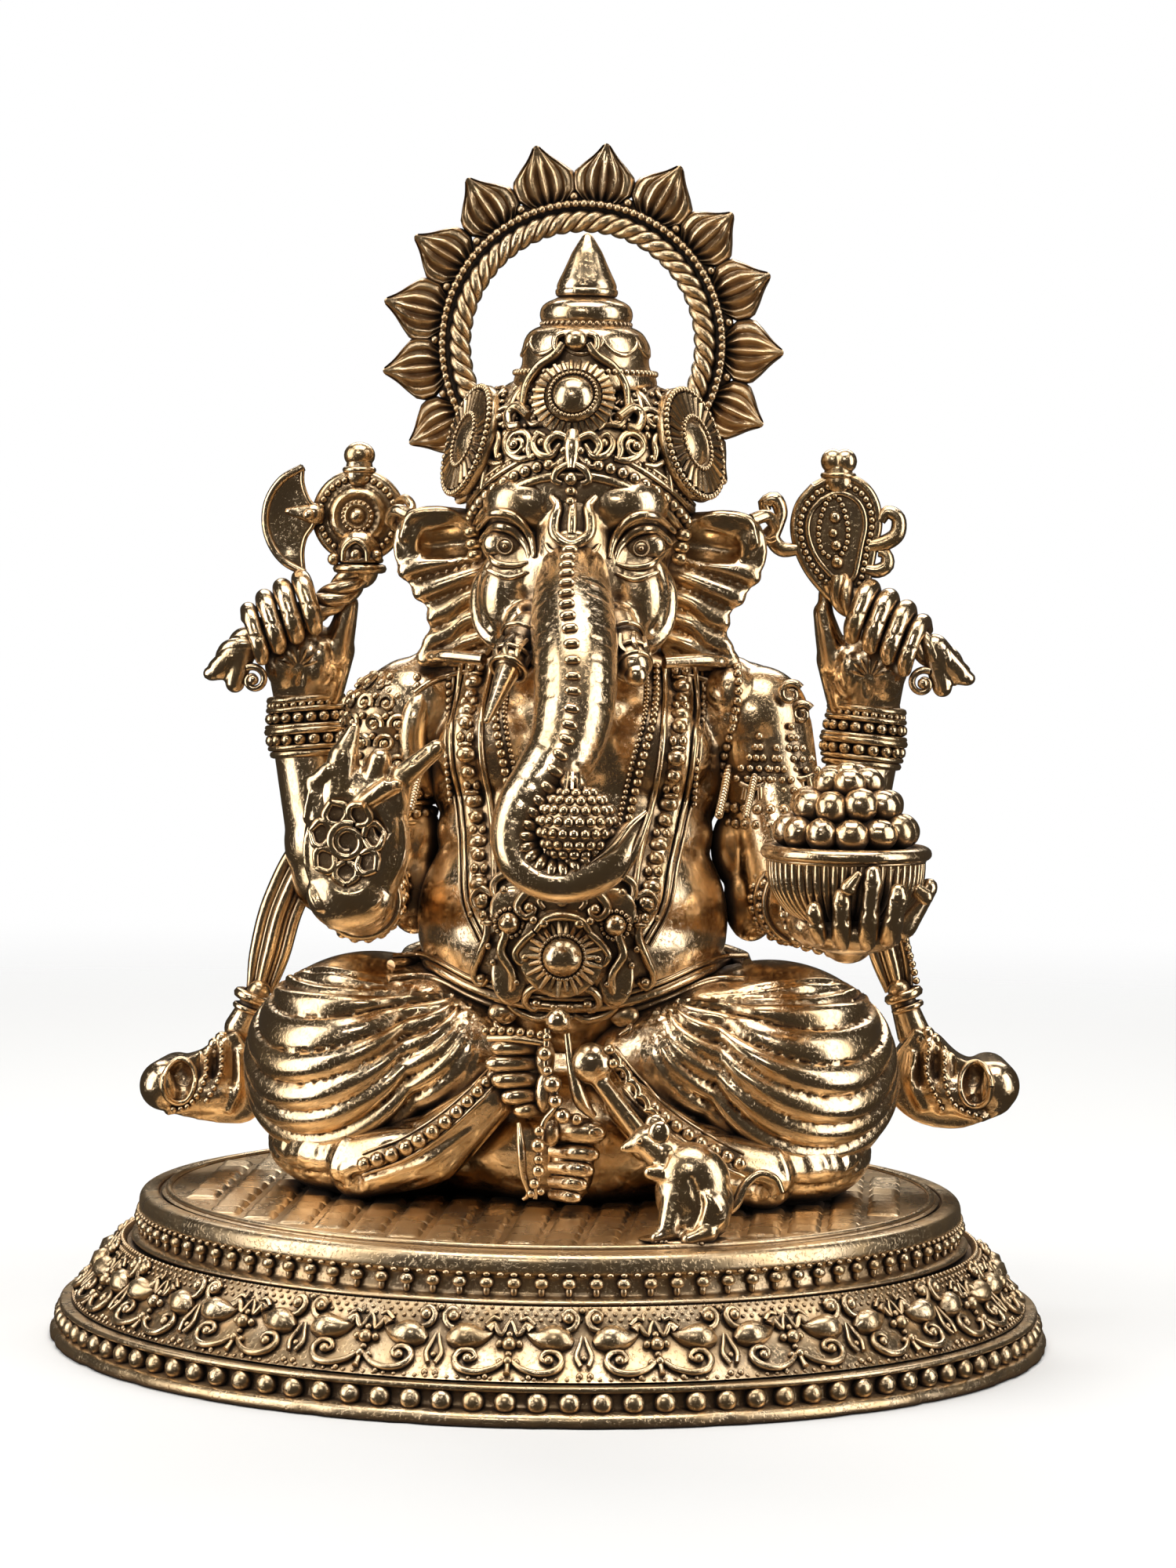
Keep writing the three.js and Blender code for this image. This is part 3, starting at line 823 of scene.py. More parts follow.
def leg(name, side):
    bm = bmesh.new()
    lump(bm, both((25.4, -2.5, 34.4), side), (16.2, 17.2, 14.5), rings=5)
    lump(bm, both((20, -2, 41), side), (14, 14, 6.8), (0, 10 * side, 0), rings=4)
    lump(bm, both((14, -11, 36), side), (11, 8.5, 9), rings=4)
    clay = Clay(bm, 0.42, 6)
    pleats(clay, side, (8.5, -17.5, 44.5), (42.5, 8, 44.5), 1.25)
    clay.stroke(sided(side, (33.5, -8, 46.5, 2.2), (30, -12, 46, 2.5), (22, -13.5, 46.2, 2.2),
                      (14, -15, 46, 1.4)), -0.7, 0.8)
    clay.stroke(sided(side, (36, -5, 46, 1.4), (37, -9, 44.3, 1.6), (31, -14, 43.6, 2),
                      (21, -17, 43.6, 1.6)), 0.5)
    skin = clay.skin()
    bm = clay.cast()
    under = bmesh.new()
    lump(under, both((24, -3, 24.3), side), (14.4, 14.4, 6.8), rings=4)
    limb(under, both((25, -15, 23.3), side), both((15.5, -19, 26), side), 4.4, 4.2)
    limb(under, both((15.5, -19, 26), side), both((8.5, -20.5, 32.5), side), 4.2, 3)
    shin = Clay(under, 0.45, 5)
    pleats(shin, side, (8.5, -17.5, 44.5), (42.5, 8, 44.5), 0.8)
    for k in range(12):
        angle = radians(4 + 12.5 * k)
        reach = 15.4
        x, y = 24 + reach * sin(angle), -3.5 - reach * cos(angle)
        top = (24 + 13.6 * sin(angle - 0.12), -3.5 - 13.6 * cos(angle - 0.12), 28.6)
        shin.stroke([both((x, y, 18.6), side) + (1,), both((x, y, 22.6), side) + (1.3,),
                     both(top, side) + (0.9,)], 0.4 if k % 2 else -0.5)
    for k in range(5):
        shin.stroke(sided(side, (28 - k, -18, 19.6 + 1.3 * k, 0.7), (19, -22.4, 21.0 + 1.7 * k, 0.8),
                          (10, -23.6, 26.4 + 1.8 * k, 0.6)), 0.35 if k % 2 else -0.5)
    shin.stroke(sided(side, (27, -19.5, 23, 1.5), (19, -23, 26.2, 1.8), (9, -24, 33, 1.3)), 0.7)
    shin.stroke(sided(side, (25, -20, 20.8, 1.2), (17, -23, 22.8, 1.4), (9, -23.6, 28.5, 1.2)), -0.7)
    shin_skin = shin.skin()
    under = shin.cast()
    cut_below(under, SEAT_Z + 0.05)
    join(bm, under)
    skins = [skin, shin_skin]
    if side < 0:
        hem = [(-7.2, 36.6, 0.82), (-10.4, 33.2, 0.9), (-14.3, 29.6, 1), (-19, 26.4, 1.05), (-24.4, 24, 0.95)]
    else:
        hem = [(6.6, 37.6, 0.8), (9.6, 34.4, 0.85), (13.4, 31, 0.9), (17.6, 28, 0.95), (23, 25.2, 0.85)]
    rows = laid(hem, skins, 0.55)
    bead_run(bm, [tuple(r) for r in rows[::6]] + [tuple(rows[-1])], 1)
    for drop, width in ((-1.45, 0.3), (1.3, 0.22)):
        wires(bm, [laid([(x, z + drop, width) for x, z, _ in hem], skins, 0.3)])
    finish(f"{name}_leg", bm, GOLD)
    return skins


def foot(centre, sole, toes, side):
    """A sole standing on edge, its toes lying across it one above the other with their tips out to a side."""
    bm = bmesh.new()
    x, y, z = centre
    lump(bm, (x, y + 2.2, z), sole)
    for level, tip, thick in toes:
        root = x - side * sole[0] * 0.75
        run = [(root, y + 0.9, level, thick), ((root + tip) / 2, y - 0.9, level + 0.1, thick * 1.08),
               (tip - side * 1.2, y - 1.2, level + 0.05, thick * 1.08),
               (tip - side * 0.3, y - 0.9, level - 0.1, thick * 0.92),
               (tip, y - 0.5, level - 0.15, thick * 0.55)]
        wire(bm, run, 5)
        lump(bm, (tip - side * 0.3, y - 1.7 * thick, level + 0.1), (0.75 * thick, 0.3, 0.55 * thick),
             (0, 0, side * 20), rings=2)
    return bm


def feet():
    toes = [(39.3, -7.9, 0.95), (37.3, -8.5, 0.98), (35.3, -7.7, 1), (33.3, -6.5, 0.95), (31.6, -5, 0.85)]
    bm = foot((-3.6, -22.6, 35.4), (3, 3, 5.2), toes, -1)
    lump(bm, (-1.5, -24, 38.2), (1.2, 1, 2.4))
    lump(bm, (-1.5, -24, 34), (1.2, 1, 2.6))
    bead_run(bm, [(-9, -22.8, 41.2, 0.6), (-6, -24.6, 41.5, 0.6), (-2, -25.2, 41.2, 0.6)])
    wire(bm, [(-8.6, -23.2, 40.4, 0.5), (-5, -24.8, 40.6, 0.55), (-1.6, -25, 40.2, 0.5)])
    finish("upper_foot", bm, GOLD)
    toes = [(29.2, 5.4, 1.5), (26.5, 4.9, 1), (24.5, 4.3, 0.98), (22.7, 3.6, 0.9), (21.1, 2.9, 0.75)]
    bm = foot((1.7, -22.6, 25.4), (3, 3, 5.6), toes, 1)
    lump(bm, (-0.8, -23.6, 29), (1.4, 1.2, 1.8))
    finish("lower_foot", bm, GOLD)


def waist_sash(skins):
    bm = bmesh.new()
    waist = [(-22.5, 47.2), (-17, 47.4), (-11.5, 45.4), (-6, 43.9), (0, 43.4), (6.2, 43.8), (11.8, 45.4),
             (17.4, 47.6), (22.5, 48)]
    for rise, r, lift in ((0.5, 0.75, 0.2), (-0.85, 0.5, 0.3), (1.55, 0.35, 0.2)):
        wires(bm, [laid([(x, z + rise, r) for x, z in waist], skins, lift)])
    back = [(21.8, -2, 48, 0.8), (21, 8, 48.5, 0.8), (14, 17, 49, 0.8), (0, 20.6, 49, 0.8),
            (-14, 17, 49, 0.8), (-21, 8, 48.5, 0.8), (-21.8, -2, 47.4, 0.8)]
    wire(bm, back)
    wire(bm, [(x * 1.01, y * 1.01, z - 1.5, 0.5) for x, y, z, _ in back])
    for side in (-1, 1):
        place = front(side * 7.6, 43.2, skins)
        lump(bm, (side * 7.6, place.y - 0.5, 42.8), (1.9, 1.1, 1.5))
        wires(bm, [laid([(side * 6.5, 43.4, 0.5), (side * 8.4, 41.6, 0.45), (side * 7.2, 40.4, 0.35)],
                        skins, 0.4)])
    finish("waist_sash", bm, GOLD)


def offset(points, by):
    """The same run in x and z, moved sideways."""
    rows = np.array(points, float)
    way = np.gradient(rows[:, :2], axis=0)
    way /= np.linalg.norm(way, axis=1)[:, None]
    rows[:, 0] += way[:, 1] * by
    rows[:, 1] -= way[:, 0] * by
    return [tuple(r) for r in rows]


def garland(name, side, skins):
    """A flat band between two rims, set with gems, and a string of beads beside it."""
    middle = [(-12.8, 86.2), (-13.3, 80), (-13, 74), (-11.9, 68), (-10.9, 62), (-10.2, 57), (-8.2, 53)]
    middle = [(x * (1 if side < 0 else -1.02), z) for x, z in middle]
    bm = bmesh.new()
    plain_run = [(x, z, 1.7) for x, z in middle]
    bed_run = laid(plain_run, skins, 0)
    rib = bed_run.copy()
    rib[:, 3] = 1.5
    flat = bmesh.new()
    wires(flat, [rib], 3)
    for v in flat.verts:
        near = rib[np.abs(rib[:, 2] - v.co.z).argmin()]
        v.co.y = near[1] - 0.1 + (v.co.y - near[1]) * 0.35
    join(bm, flat)
    for by in (-1.95, 1.95):
        rim = laid([(x, z, 0.42) for x, z, _ in offset(plain_run, by)], skins, 0.9)
        wires(bm, [rim])
    gap = gone_along(bed_run)
    rng = np.random.default_rng(3)
    place, k = 1, 0
    while place < gap[-1] - 0.5:
        x, y, z = (np.interp(place, gap, bed_run[:, i]) for i in range(3))
        if k % 3 == 1:
            lump(bm, (x, y - 0.65, z), (1.35, 0.95, 1.1), (0, float(rng.uniform(-8, 8)), 0), rings=2)
            step = 2.25
        elif k % 3 == 2:
            lump(bm, (x, y - 0.7, z), (1.2, 1, 1.1), (0, 45, 0), rings=1)
            step = 2.15
        else:
            for lean in (-0.62, 0.62):
                lump(bm, (x + lean, y - 0.6, z + 0.2), (0.6, 0.7, 0.75), rings=2)
            lump(bm, (x, y - 0.7, z - 0.7), (1.1, 0.6, 0.42), rings=2)
            step = 2.0
        place += step
        k += 1
    inner = [(-9.4, 86, 0.5), (-9.6, 80, 0.55), (-8.4, 74, 0.6), (-7.2, 68, 0.6), (-6.4, 61, 0.55)]
    inner = [(x * (1 if side < 0 else -1.08), z, r) for x, z, r in inner]
    rows = laid(inner, skins, 1.1)
    bead_run(bm, [tuple(r) for r in rows[::5]], 1)
    chain_run = offset(inner, -1.15 if side < 0 else 1.15)
    bead_run(bm, [tuple(r) for r in laid([(x, z, 0.36) for x, z, _ in chain_run], skins, 1)[::5]], 1.05)
    outer = laid([(x, z, 0.26)
                  for x, z, _ in offset([(x, z, 0.3) for x, z in middle], 2.75 if side < 0 else -2.75)],
                 skins, 0.5)
    wires(bm, [outer])
    finish(f"{name}_garland", bm, CHASED)


def pendant(skins):
    """Open scrollwork over the belly round a domed gem."""
    half = [
        [(0.6, 60.6, 0.42), (3.2, 61.2, 0.5), (6.2, 60.8, 0.5), (8.6, 59.4, 0.46), (8.4, 57.4, 0.4),
         (6.9, 57.5, 0.36), (7, 58.6, 0.3)],
        [(2, 59.4, 0.36), (4.4, 58.2, 0.5), (5.6, 56.4, 0.46), (4.4, 55.2, 0.4), (3.4, 56.2, 0.34),
         (4.3, 56.8, 0.28)],
        [(8.8, 57.6, 0.36), (10.4, 58.4, 0.46), (11.4, 57, 0.42), (10.6, 55.8, 0.36), (9.7, 56.6, 0.28)],
        [(8.2, 55.4, 0.4), (7, 53.4, 0.5), (7.6, 50.8, 0.5), (6.2, 48.2, 0.48), (6.4, 45.8, 0.46),
         (7.7, 45.2, 0.4), (7.9, 46.5, 0.3)],
        [(9.7, 55.6, 0.36), (9.4, 53, 0.46), (10.4, 50.2, 0.46), (11.2, 47.8, 0.42), (10.3, 46.4, 0.38),
         (9.3, 47.3, 0.3)],
        [(3.4, 53.4, 0.38), (4.8, 52.2, 0.44), (5.8, 50.6, 0.4), (5, 49.4, 0.36), (4.2, 50.1, 0.28)],
        [(2.4, 46.6, 0.4), (4, 46, 0.46), (4.6, 44.4, 0.42), (3.4, 43.5, 0.36), (2.7, 44.4, 0.28)],
        [(0.5, 57.4, 0.34), (1.8, 58, 0.4), (2.9, 57.2, 0.34), (2.2, 56.3, 0.28)],
        [(1.4, 42.8, 0.34), (3, 42.2, 0.44), (5.4, 42.9, 0.42), (6.8, 44, 0.34)],
    ]
    bm = bmesh.new()
    runs = []
    for rows in half:
        for side in (-1, 1):
            runs.append(laid([(x * side, z, 1.28 * r) for x, z, r in rows], skins, 1.2))
    wires(bm, runs)
    dots = [(6.6, 54.4, 1.25), (7.7, 45.9, 0.75), (10.2, 47.2, 0.55), (4.5, 50.2, 0.5), (4.1, 56.4, 0.6),
            (9.9, 57.2, 0.6), (7.3, 58.4, 0.55), (3.2, 44.4, 0.5), (2.2, 54.6, 0.62), (3.5, 54.9, 0.5),
            (1.4, 59.6, 0.5), (8.6, 49.4, 0.42), (5.6, 47, 0.4), (9.2, 51.4, 0.42), (2.4, 60.3, 0.4),
            (5.3, 59.5, 0.42), (11.6, 55.2, 0.4), (1, 44, 0.42)]
    spots = []
    for x, z, r in dots:
        for side in (-1, 1):
            place = front(x * side, z, skins)
            spots.append((x * side, place.y - 0.8, z, 1.15 * r))
    beads(bm, spots)
    for x, z in ((-6.6, 54.4), (6.6, 54.4)):
        place = front(x, z, skins)
        bead_run(bm, [(x + 1.75 * cos(a), place.y - 0.7, z + 1.75 * sin(a), 0.33)
                      for a in np.linspace(0, tau, 13)], 1)
    place = front(0.2, 50.2, skins)
    gem_y = place.y - 0.9
    lump(bm, (0.2, gem_y - 0.5, 50.4), (2.5, 1.9, 2.4), rings=3)
    for i in range(26):
        angle = tau * i / 26
        reach = 5.0 if i % 2 else 4.3
        wire(bm, [(0.2 + 2.2 * cos(angle), gem_y, 50.4 + 2.2 * sin(angle), 0.42),
                  (0.2 + reach * cos(angle), gem_y + 0.5, 50.4 + reach * sin(angle), 0.24)], 1, 0.9)
    bead_run(bm, [(0.2 + 2.75 * cos(a), gem_y - 0.35, 50.4 + 2.75 * sin(a), 0.26)
                  for a in np.linspace(0, tau, 25)], 1)
    crest = [(-3.2, 53.6, 0.4), (-2, 55, 0.5), (0, 55.5, 0.6), (2.4, 55, 0.5), (3.5, 53.6, 0.4)]
    wires(bm, [laid(crest, skins, 1.8)])
    for x, z, r in ((0, 57.2, 0.75), (0, 59.3, 0.8), (0, 61.2, 0.6), (0, 46, 0.8)):
        place = front(x, z, skins)
        lump(bm, (x, place.y - 0.8, z), (r, r * 0.8, r), rings=2)
    web = bmesh.new()
    for x, z, rx, rz in ((0, 51, 5.4, 5.8), (-6, 56, 3.2, 3), (6, 56, 3.2, 3), (0, 57.5, 5, 3),
                         (-6.5, 48, 2.4, 4), (6.5, 48, 2.4, 4)):
        place = front(x, z, skins)
        lump(web, (x, place.y + 0.1, z), (rx, 0.55, rz), rings=3)
    join(bm, web)
    finish("pendant", bm, CHASED)


def girdle_tassel():
    bm = bmesh.new()
    lump(bm, (0.1, -25.2, 43), (1.55, 1.4, 1.55), rings=3)
    column = [(-1.2, -25.6, 41, 0.6), (-1.4, -25.9, 39, 0.95), (-1, -26, 36.9, 0.7),
              (-0.4, -26.2, 35.3, 1.15), (0, -26.2, 33.2, 0.9), (0.9, -26, 31.4, 1),
              (2.6, -25.7, 31, 0.75), (-2, -25.6, 29.4, 0.7), (-2.1, -25.7, 27.6, 0.95),
              (-2, -25.8, 25.9, 0.65), (-2, -25.8, 24.5, 0.85), (-2.5, -25.6, 22.9, 0.7),
              (-2.9, -25.2, 21.6, 0.55), (-1.7, -25.4, 21.9, 0.5)]
    beads(bm, column, FINE_BEAD)
    wire(bm, [(-1.2, -25.4, 42, 0.45), (-1.2, -25.6, 37, 0.4), (0.2, -25.9, 33, 0.4),
              (-1.6, -25.4, 30, 0.4), (-2.1, -25.4, 24, 0.45), (-2.4, -25.2, 21, 0.3)])
    wire(bm, [(-4.6, -24.6, 30.2, 0.3), (-4.2, -25.2, 27.2, 0.6), (-3.9, -25.2, 24, 0.5),
              (-3.2, -25, 21.6, 0.35), (-3.9, -24.6, 20.8, 0.25)])
    wire(bm, [(1.2, -25.2, 41.4, 0.4), (1.8, -25.6, 37.6, 0.55), (3, -25.4, 33.4, 0.95),
              (4.6, -24.6, 31.2, 0.5)])
    knob = bmesh.new()
    lump(knob, (4.3, -25, 37.8), (2.7, 2.3, 2.6))
    limb(knob, (5.6, -25.2, 35.4), (10.2, -25.4, 29.6), 1.15, 1.25)
    lump(knob, (11.2, -25.6, 28), (2.3, 2, 2))
    clay = Clay(knob, 0.28, 2)
    clay.stroke([(2.4, -26.6, 36.2, 0.6), (4.2, -27, 35.4, 0.7), (6.2, -26.6, 36.2, 0.6)], -0.4)
    clay.into(bm)
    twist = []
    for i in range(22):
        t = i / 21
        x, z = 6.9 + 6.6 * t, 38.8 - 9.2 * t
        twist.append((x + 0.4 * sin(i * 1.6), -25.4 - 0.6 * t, z + 0.4 * cos(i * 1.6), 0.46))
    wire(bm, twist)
    beads(bm, [(6.4, -25.6, 39.6, 0.75), (7, -26, 38, 0.7), (13.9, -26.4, 28.6, 0.8),
               (15.2, -26.6, 27.4, 0.7)])
    finish("girdle_tassel", bm, GOLD)


torso_skin = torso()
hips()
right_leg_skins = leg("right", -1)
left_leg_skins = leg("left", 1)
feet()
front_skins = [torso_skin]
waist_sash([torso_skin, right_leg_skins[0], left_leg_skins[0]])
garland("right", -1, front_skins)
garland("left", 1, front_skins)
pendant(front_skins)
girdle_tassel()


# ---------------------------------------------------------------- head

def head():
    bm = bmesh.new()
    lump(bm, (0, 1, 104), (13, 13.2, 12), rings=4)
    lump(bm, (0, -3.5, 97), (11.6, 11.2, 9.6), rings=4)
    lump(bm, (0, -9.8, 99.5), (5.4, 5.6, 9.5), rings=4)
    for side in (-1, 1):
        lump(bm, both((5.6, -7.6, 106.2), side), (6.2, 6, 4.6), rings=4)
        lump(bm, both((8.1, -8.2, 94.6), side), (4.4, 5.4, 7.4), (0, -6 * side, 0), rings=4)
        lump(bm, both((5.4, -15, 90.4), side), (3.2, 3.6, 4))
    lump(bm, (0, -8, 89.5), (7.2, 6, 4.6))
    clay = Clay(bm, 0.36, 5)
    clay.stroke([(0, -18, 110, 2.2), (0, -18, 106, 2), (0, -18, 103, 1.2)], -0.9)
    for side in (-1, 1):
        clay.stroke(sided(side, (8.5, -14.2, 101, 3.4), (8.6, -14.2, 100.4, 3.4)), -1.5)
        clay.stroke(sided(side, (4.6, -16.5, 101, 1.6), (4.9, -17, 96, 1.9), (4.6, -17, 92, 1.7),
                          (5.4, -16, 89, 1.2)), -1.3)
        clay.stroke(sided(side, (4.9, -15, 103.2, 1.3), (8.2, -14.2, 105, 1.5), (12, -11, 103.4, 1.2)), 0.9)
        clay.stroke(sided(side, (12.2, -9, 101, 1.2), (12.6, -9, 96, 1.4), (11.6, -10, 90.6, 1.3),
                          (8, -12, 87.6, 1.1)), 0.7)
        clay.stroke(sided(side, (10.7, -11, 99, 1), (10.9, -11, 95, 1.2), (10.2, -12, 91, 1)), -0.45)
    skin = clay.skin()
    bm = clay.cast()
    for side in (-1, 1):
        place = front(side * 8.4, 100.9, [skin])
        lump(bm, (side * 8.5, place.y + 0.6, 100.9), (3, 1.5, 2), (0, -10 * side, 0), rings=4)
        eye_y = place.y - 0.85
        lids = [
            [(5.2, 98.9, 0.34), (5.8, 101, 0.55), (7.6, 103, 0.72), (9.9, 103.3, 0.66), (11.9, 101.6, 0.4)],
            [(5.5, 98.9, 0.26), (7.4, 98.5, 0.42), (9.8, 98.9, 0.46), (11.7, 100.8, 0.3)],
            [(4.7, 99.6, 0.3), (5.3, 102.2, 0.5), (7.4, 104.6, 0.62), (10.2, 104.9, 0.55), (12.4, 103, 0.3)],
            [(5.6, 97.7, 0.2), (8, 97, 0.34), (10.8, 98, 0.26)],
        ]
        for rows in lids:
            run = laid([(x * side, z, r) for x, z, r in rows], [skin], 0.2)
            mid = len(run) // 2
            run[:, 1] = 0.6 * run[:, 1] + 0.4 * min(run[mid, 1], place.y - 0.2) - 0.25
            wires(bm, [run], 3)
        bead_run(bm, [(side * 8.5 + 0.95 * cos(a), eye_y - 0.08, 100.9 + 0.95 * sin(a), 0.17)
                      for a in np.linspace(0, tau, 17)], 0.7)
        lump(bm, (side * 8.5, eye_y - 0.1, 100.9), (0.42, 0.35, 0.42), rings=2)
    tab = front(0.1, 101.9, [skin])
    lump(bm, (0.1, tab.y + 0.1, 101.9), (2.3, 1, 1.3), rings=3)
    mark = [[(-2.6, 107.2, 0.45), (-1.75, 106, 0.66), (-2.15, 104.2, 0.78), (-1.95, 102.4, 0.75),
             (0.1, 101.2, 0.7), (2.15, 102.4, 0.75), (2.35, 104.2, 0.78), (1.95, 106, 0.66),
             (2.8, 107.2, 0.45)], [(0.1, 106.2, 0.5), (0.1, 104.4, 0.66), (0.1, 102.6, 0.6)],
            [(-3.3, 101.3, 0.22), (-2.4, 100.3, 0.36), (0.1, 99.9, 0.42), (2.6, 100.3, 0.36),
             (3.5, 101.3, 0.22)]]
    wires(bm, [laid(rows, [skin], 1.05) for rows in mark], 3)
    for x, z, r in ((-1.6, 107.4, 0.5), (1.8, 107.4, 0.5), (0.1, 107.7, 0.7), (0.1, 106.6, 0.5)):
        place = front(x, z, [skin])
        lump(bm, (x, place.y - 0.5, z), r, rings=2)
    finish("head", bm, GOLD)


TRUNK_RUN = [(0.2, -10.5, 99.2, 3.9), (0.3, -15.2, 96.2, 4.7), (0.9, -21.3, 91.8, 5.3),
             (1.7, -26.8, 86.6, 5.2), (1.8, -30, 81.4, 4.95), (0.9, -32, 76.8, 4.5), (-1.3, -33.6, 73, 4),
             (-3.7, -34.8, 69.6, 3.4), (-4.7, -35.8, 66.2, 2.9), (-3.9, -36.6, 63.2, 2.6),
             (-1.3, -37.2, 61.3, 2.45), (1.8, -37.4, 60.9, 2.5), (5.2, -37.4, 62.2, 2.75),
             (7.6, -37.3, 64.6, 2.7), (9.2, -37.4, 66.8, 1.7), (11.2, -37.4, 69, 0.5)]


def trunk():
    bm = bmesh.new()
    wires(bm, [flow(TRUNK_RUN, 0.5)], 9)
    clay = Clay(bm, 0.36, 3)
    run = flow(TRUNK_RUN, 0.25)
    gone = gone_along(run)
    eye = np.array((2.9, -37, 67.6))

    def ahead(at_length):
        """Centre, tangent, radius and the way the ridged side faces, at a length along the trunk."""
        centre = np.array([np.interp(at_length, gone, run[:, k]) for k in range(3)])
        later = np.array([np.interp(at_length + 0.5, gone, run[:, k]) for k in range(3)])
        way = (later - centre) / np.linalg.norm(later - centre)
        share = np.clip((at_length - 34) / 10, 0, 1)
        face = (1 - share) * np.array((0, -1, 0)) + share * ((eye - centre) / np.linalg.norm(eye - centre)
                * 0.9 + np.array((0, -0.5, 0)))
        face -= way * face.dot(way)
        face /= np.linalg.norm(face)
        return centre, way, np.interp(at_length, gone, run[:, 3]), face

    wrinkles = np.arange(9, 44, 2.3)
    for i, length in enumerate(wrinkles):
        centre, way, radius, face = ahead(length)
        side = np.cross(way, face)
        for lean in (-1, 1):
            rows = []
            for turn in (0.55, 0.9, 1.3):
                place = centre + radius * (face * cos(turn) + side * lean * sin(turn)) - way * 0.5 * sin(turn)
                rows.append((*place, 0.6))
            clay.stroke(rows, -0.07 - 0.04 * (i % 3))
    bm = clay.cast()
    length, bars = 4.6, []
    while length < gone[-1] - 7:
        centre, way, radius, face = ahead(length)
        side = np.cross(way, face)
        share = np.clip((length - 34) / 10, 0, 1)
        half = 0.95 + 0.75 * share
        thick = 0.6 + 0.14 * share
        rows = []
        for s, r in ((-1, 0.5), (-0.6, 0.95), (0, 1), (0.6, 0.95), (1, 0.5)):
            place = centre + face * (radius * cos(s * half / radius) + 0.12) + side * (radius
                    * sin(s * half / radius))
            rows.append((*place, thick * r))
        bars.append(flow(rows, 0.5))
        length += 1.85
    wires(bm, bars, 2)
    wire(bm, [(8.4, -38.2, 61.8, 0.4), (10.2, -38.6, 65.4, 0.5), (11.6, -38, 69.4, 0.35)])
    wire(bm, [(4.8, -39.6, 63.4, 0.3), (7.4, -39.9, 65.4, 0.4), (9.4, -39, 68, 0.4),
              (11.2, -37.8, 69.6, 0.3)])
    finish("trunk", bm, GOLD)


def trunk_sweet():
    bm = bmesh.new()
    centre = Vector((2.9, -37, 67.7))
    lump(bm, centre, 4.5, rings=3)
    spots = []
    for row in range(10):
        tilt = radians(-81 + 18 * row)
        count = max(1, round(21 * cos(tilt)))
        for i in range(count):
            angle = tau * (i + 0.5 * (row % 2)) / count
            way = Vector((cos(tilt) * sin(angle), -cos(tilt) * cos(angle), sin(tilt)))
            spots.append((*(centre + way * 4.5), 0.68))
    beads(bm, spots)
    lump(bm, (2.4, -37.4, 73), (1.6, 1.4, 1.2))
    for lean in (-0.8, 0, 0.8):
        wire(bm, [(2.4 + lean, -38.8, 72.2, 0.3), (2.4 + lean * 0.8, -38.2, 74.2, 0.3)], 1)
    finish("trunk_sweet", bm, GOLD)


def tusk(name, side):
    bm = bmesh.new()
    if side < 0:
        limb(bm, (-4.9, -17.5, 90.5), (-6.5, -22.5, 86.8), 2.5, 2.1)
        limb(bm, (-6.5, -22.5, 86.8), (-8.9, -28.2, 79.8), 1.75, 0.45)
        cuff = [(-5.2, -19.4, 90.2), (-7.2, -24, 84.8)]
    else:
        limb(bm, (6, -16.5, 91), (8.4, -22.5, 86.6), 2.6, 2.2)
        limb(bm, (8.4, -22.5, 86.6), (8.9, -23.8, 85.4), 1.7, 1.45)
        cuff = [(6.6, -18.4, 90.2), (8.8, -23.4, 85.6)]
    for share, radius in ((0.1, 2.7), (0.55, 2.45), (0.8, 2.3)):
        wire(bm, held(*cuff, share, hoop(radius, 0, 0.32, 25)))
    for k in range(9):
        angle = tau * k / 9
        leaf = [(r * cos(angle + twist), r * sin(angle + twist), along, thick)
                for r, twist, along, thick in ((2.5, 0, -1.6, 0.3), (2.45, 0.2, 0.2, 0.42),
                (2.1, 0, 1.5, 0.2))]
        wire(bm, held(*cuff, 0.55, leaf), 1)
    finish(f"{name}_tusk", bm, GOLD)


def ear(name, side):
    outline = [(9.5, 103), (13, 105.2), (17.5, 105.7), (21.6, 105.2), (23.4, 103), (23.7, 99.6),
               (21.8, 96), (19.2, 92.6), (19, 89.4), (20.6, 86.6), (17, 85.4), (12, 86), (9.5, 92)]
    bm = slab([(x * side, z) for x, z in outline], -1.6, 3.4)
    lump(bm, both((18.6, -0.6, 104), side), (4.2, 2, 1.9))
    lump(bm, both((21.2, -0.4, 101.6), side), (1.8, 2, 3))
    clay = Clay(bm, 0.34, 4)
    clay.stroke(sided(side, (12.6, -1.8, 101.4, 2.2), (16, -1.8, 101.2, 2.8), (18.8, -1.8, 100.8, 2.2)), -2)
    for k in range(5):
        z = 98.2 - 2.8 * k
        reach = (23, 21.2, 19.2, 19.2, 20.4)[k]
        rows = [(11.4, z + 2.5, 1.1), (14.2, z + 1.6, 1.6), (reach - 2.6, z - 0.1, 1.8),
                (reach, z - 1.2, 1.3)]
        clay.stroke([both((x, -1.9, z), side) + (1.2 * r,) for x, z, r in rows], 1.15)
        clay.stroke([both((x, -1.9, z - 1.4), side) + (0.5 * r,) for x, z, r in rows], -0.5)
    edge = [(12.6, 103.8), (17, 105), (21.4, 104.4), (22.3, 101.8)]
    clay.stroke([both((x, -1.9, z), side) + (1,) for x, z in edge], 0.75, 0.8)
    clay.stroke([both((x, 1.9, z), side) + (1,) for x, z in edge], 0.6, 0.8)
    bm = clay.cast()
    wire(bm, sided(side, (21.8, -0.6, 104.6, 0.9), (23.6, 0.8, 105.2, 0.85), (24.6, 2.6, 104, 0.8),
                   (23.6, 3.2, 102.9, 0.7)))
    finish(f"{name}_ear", bm, GOLD)


# ---------------------------------------------------------------- crown and halo

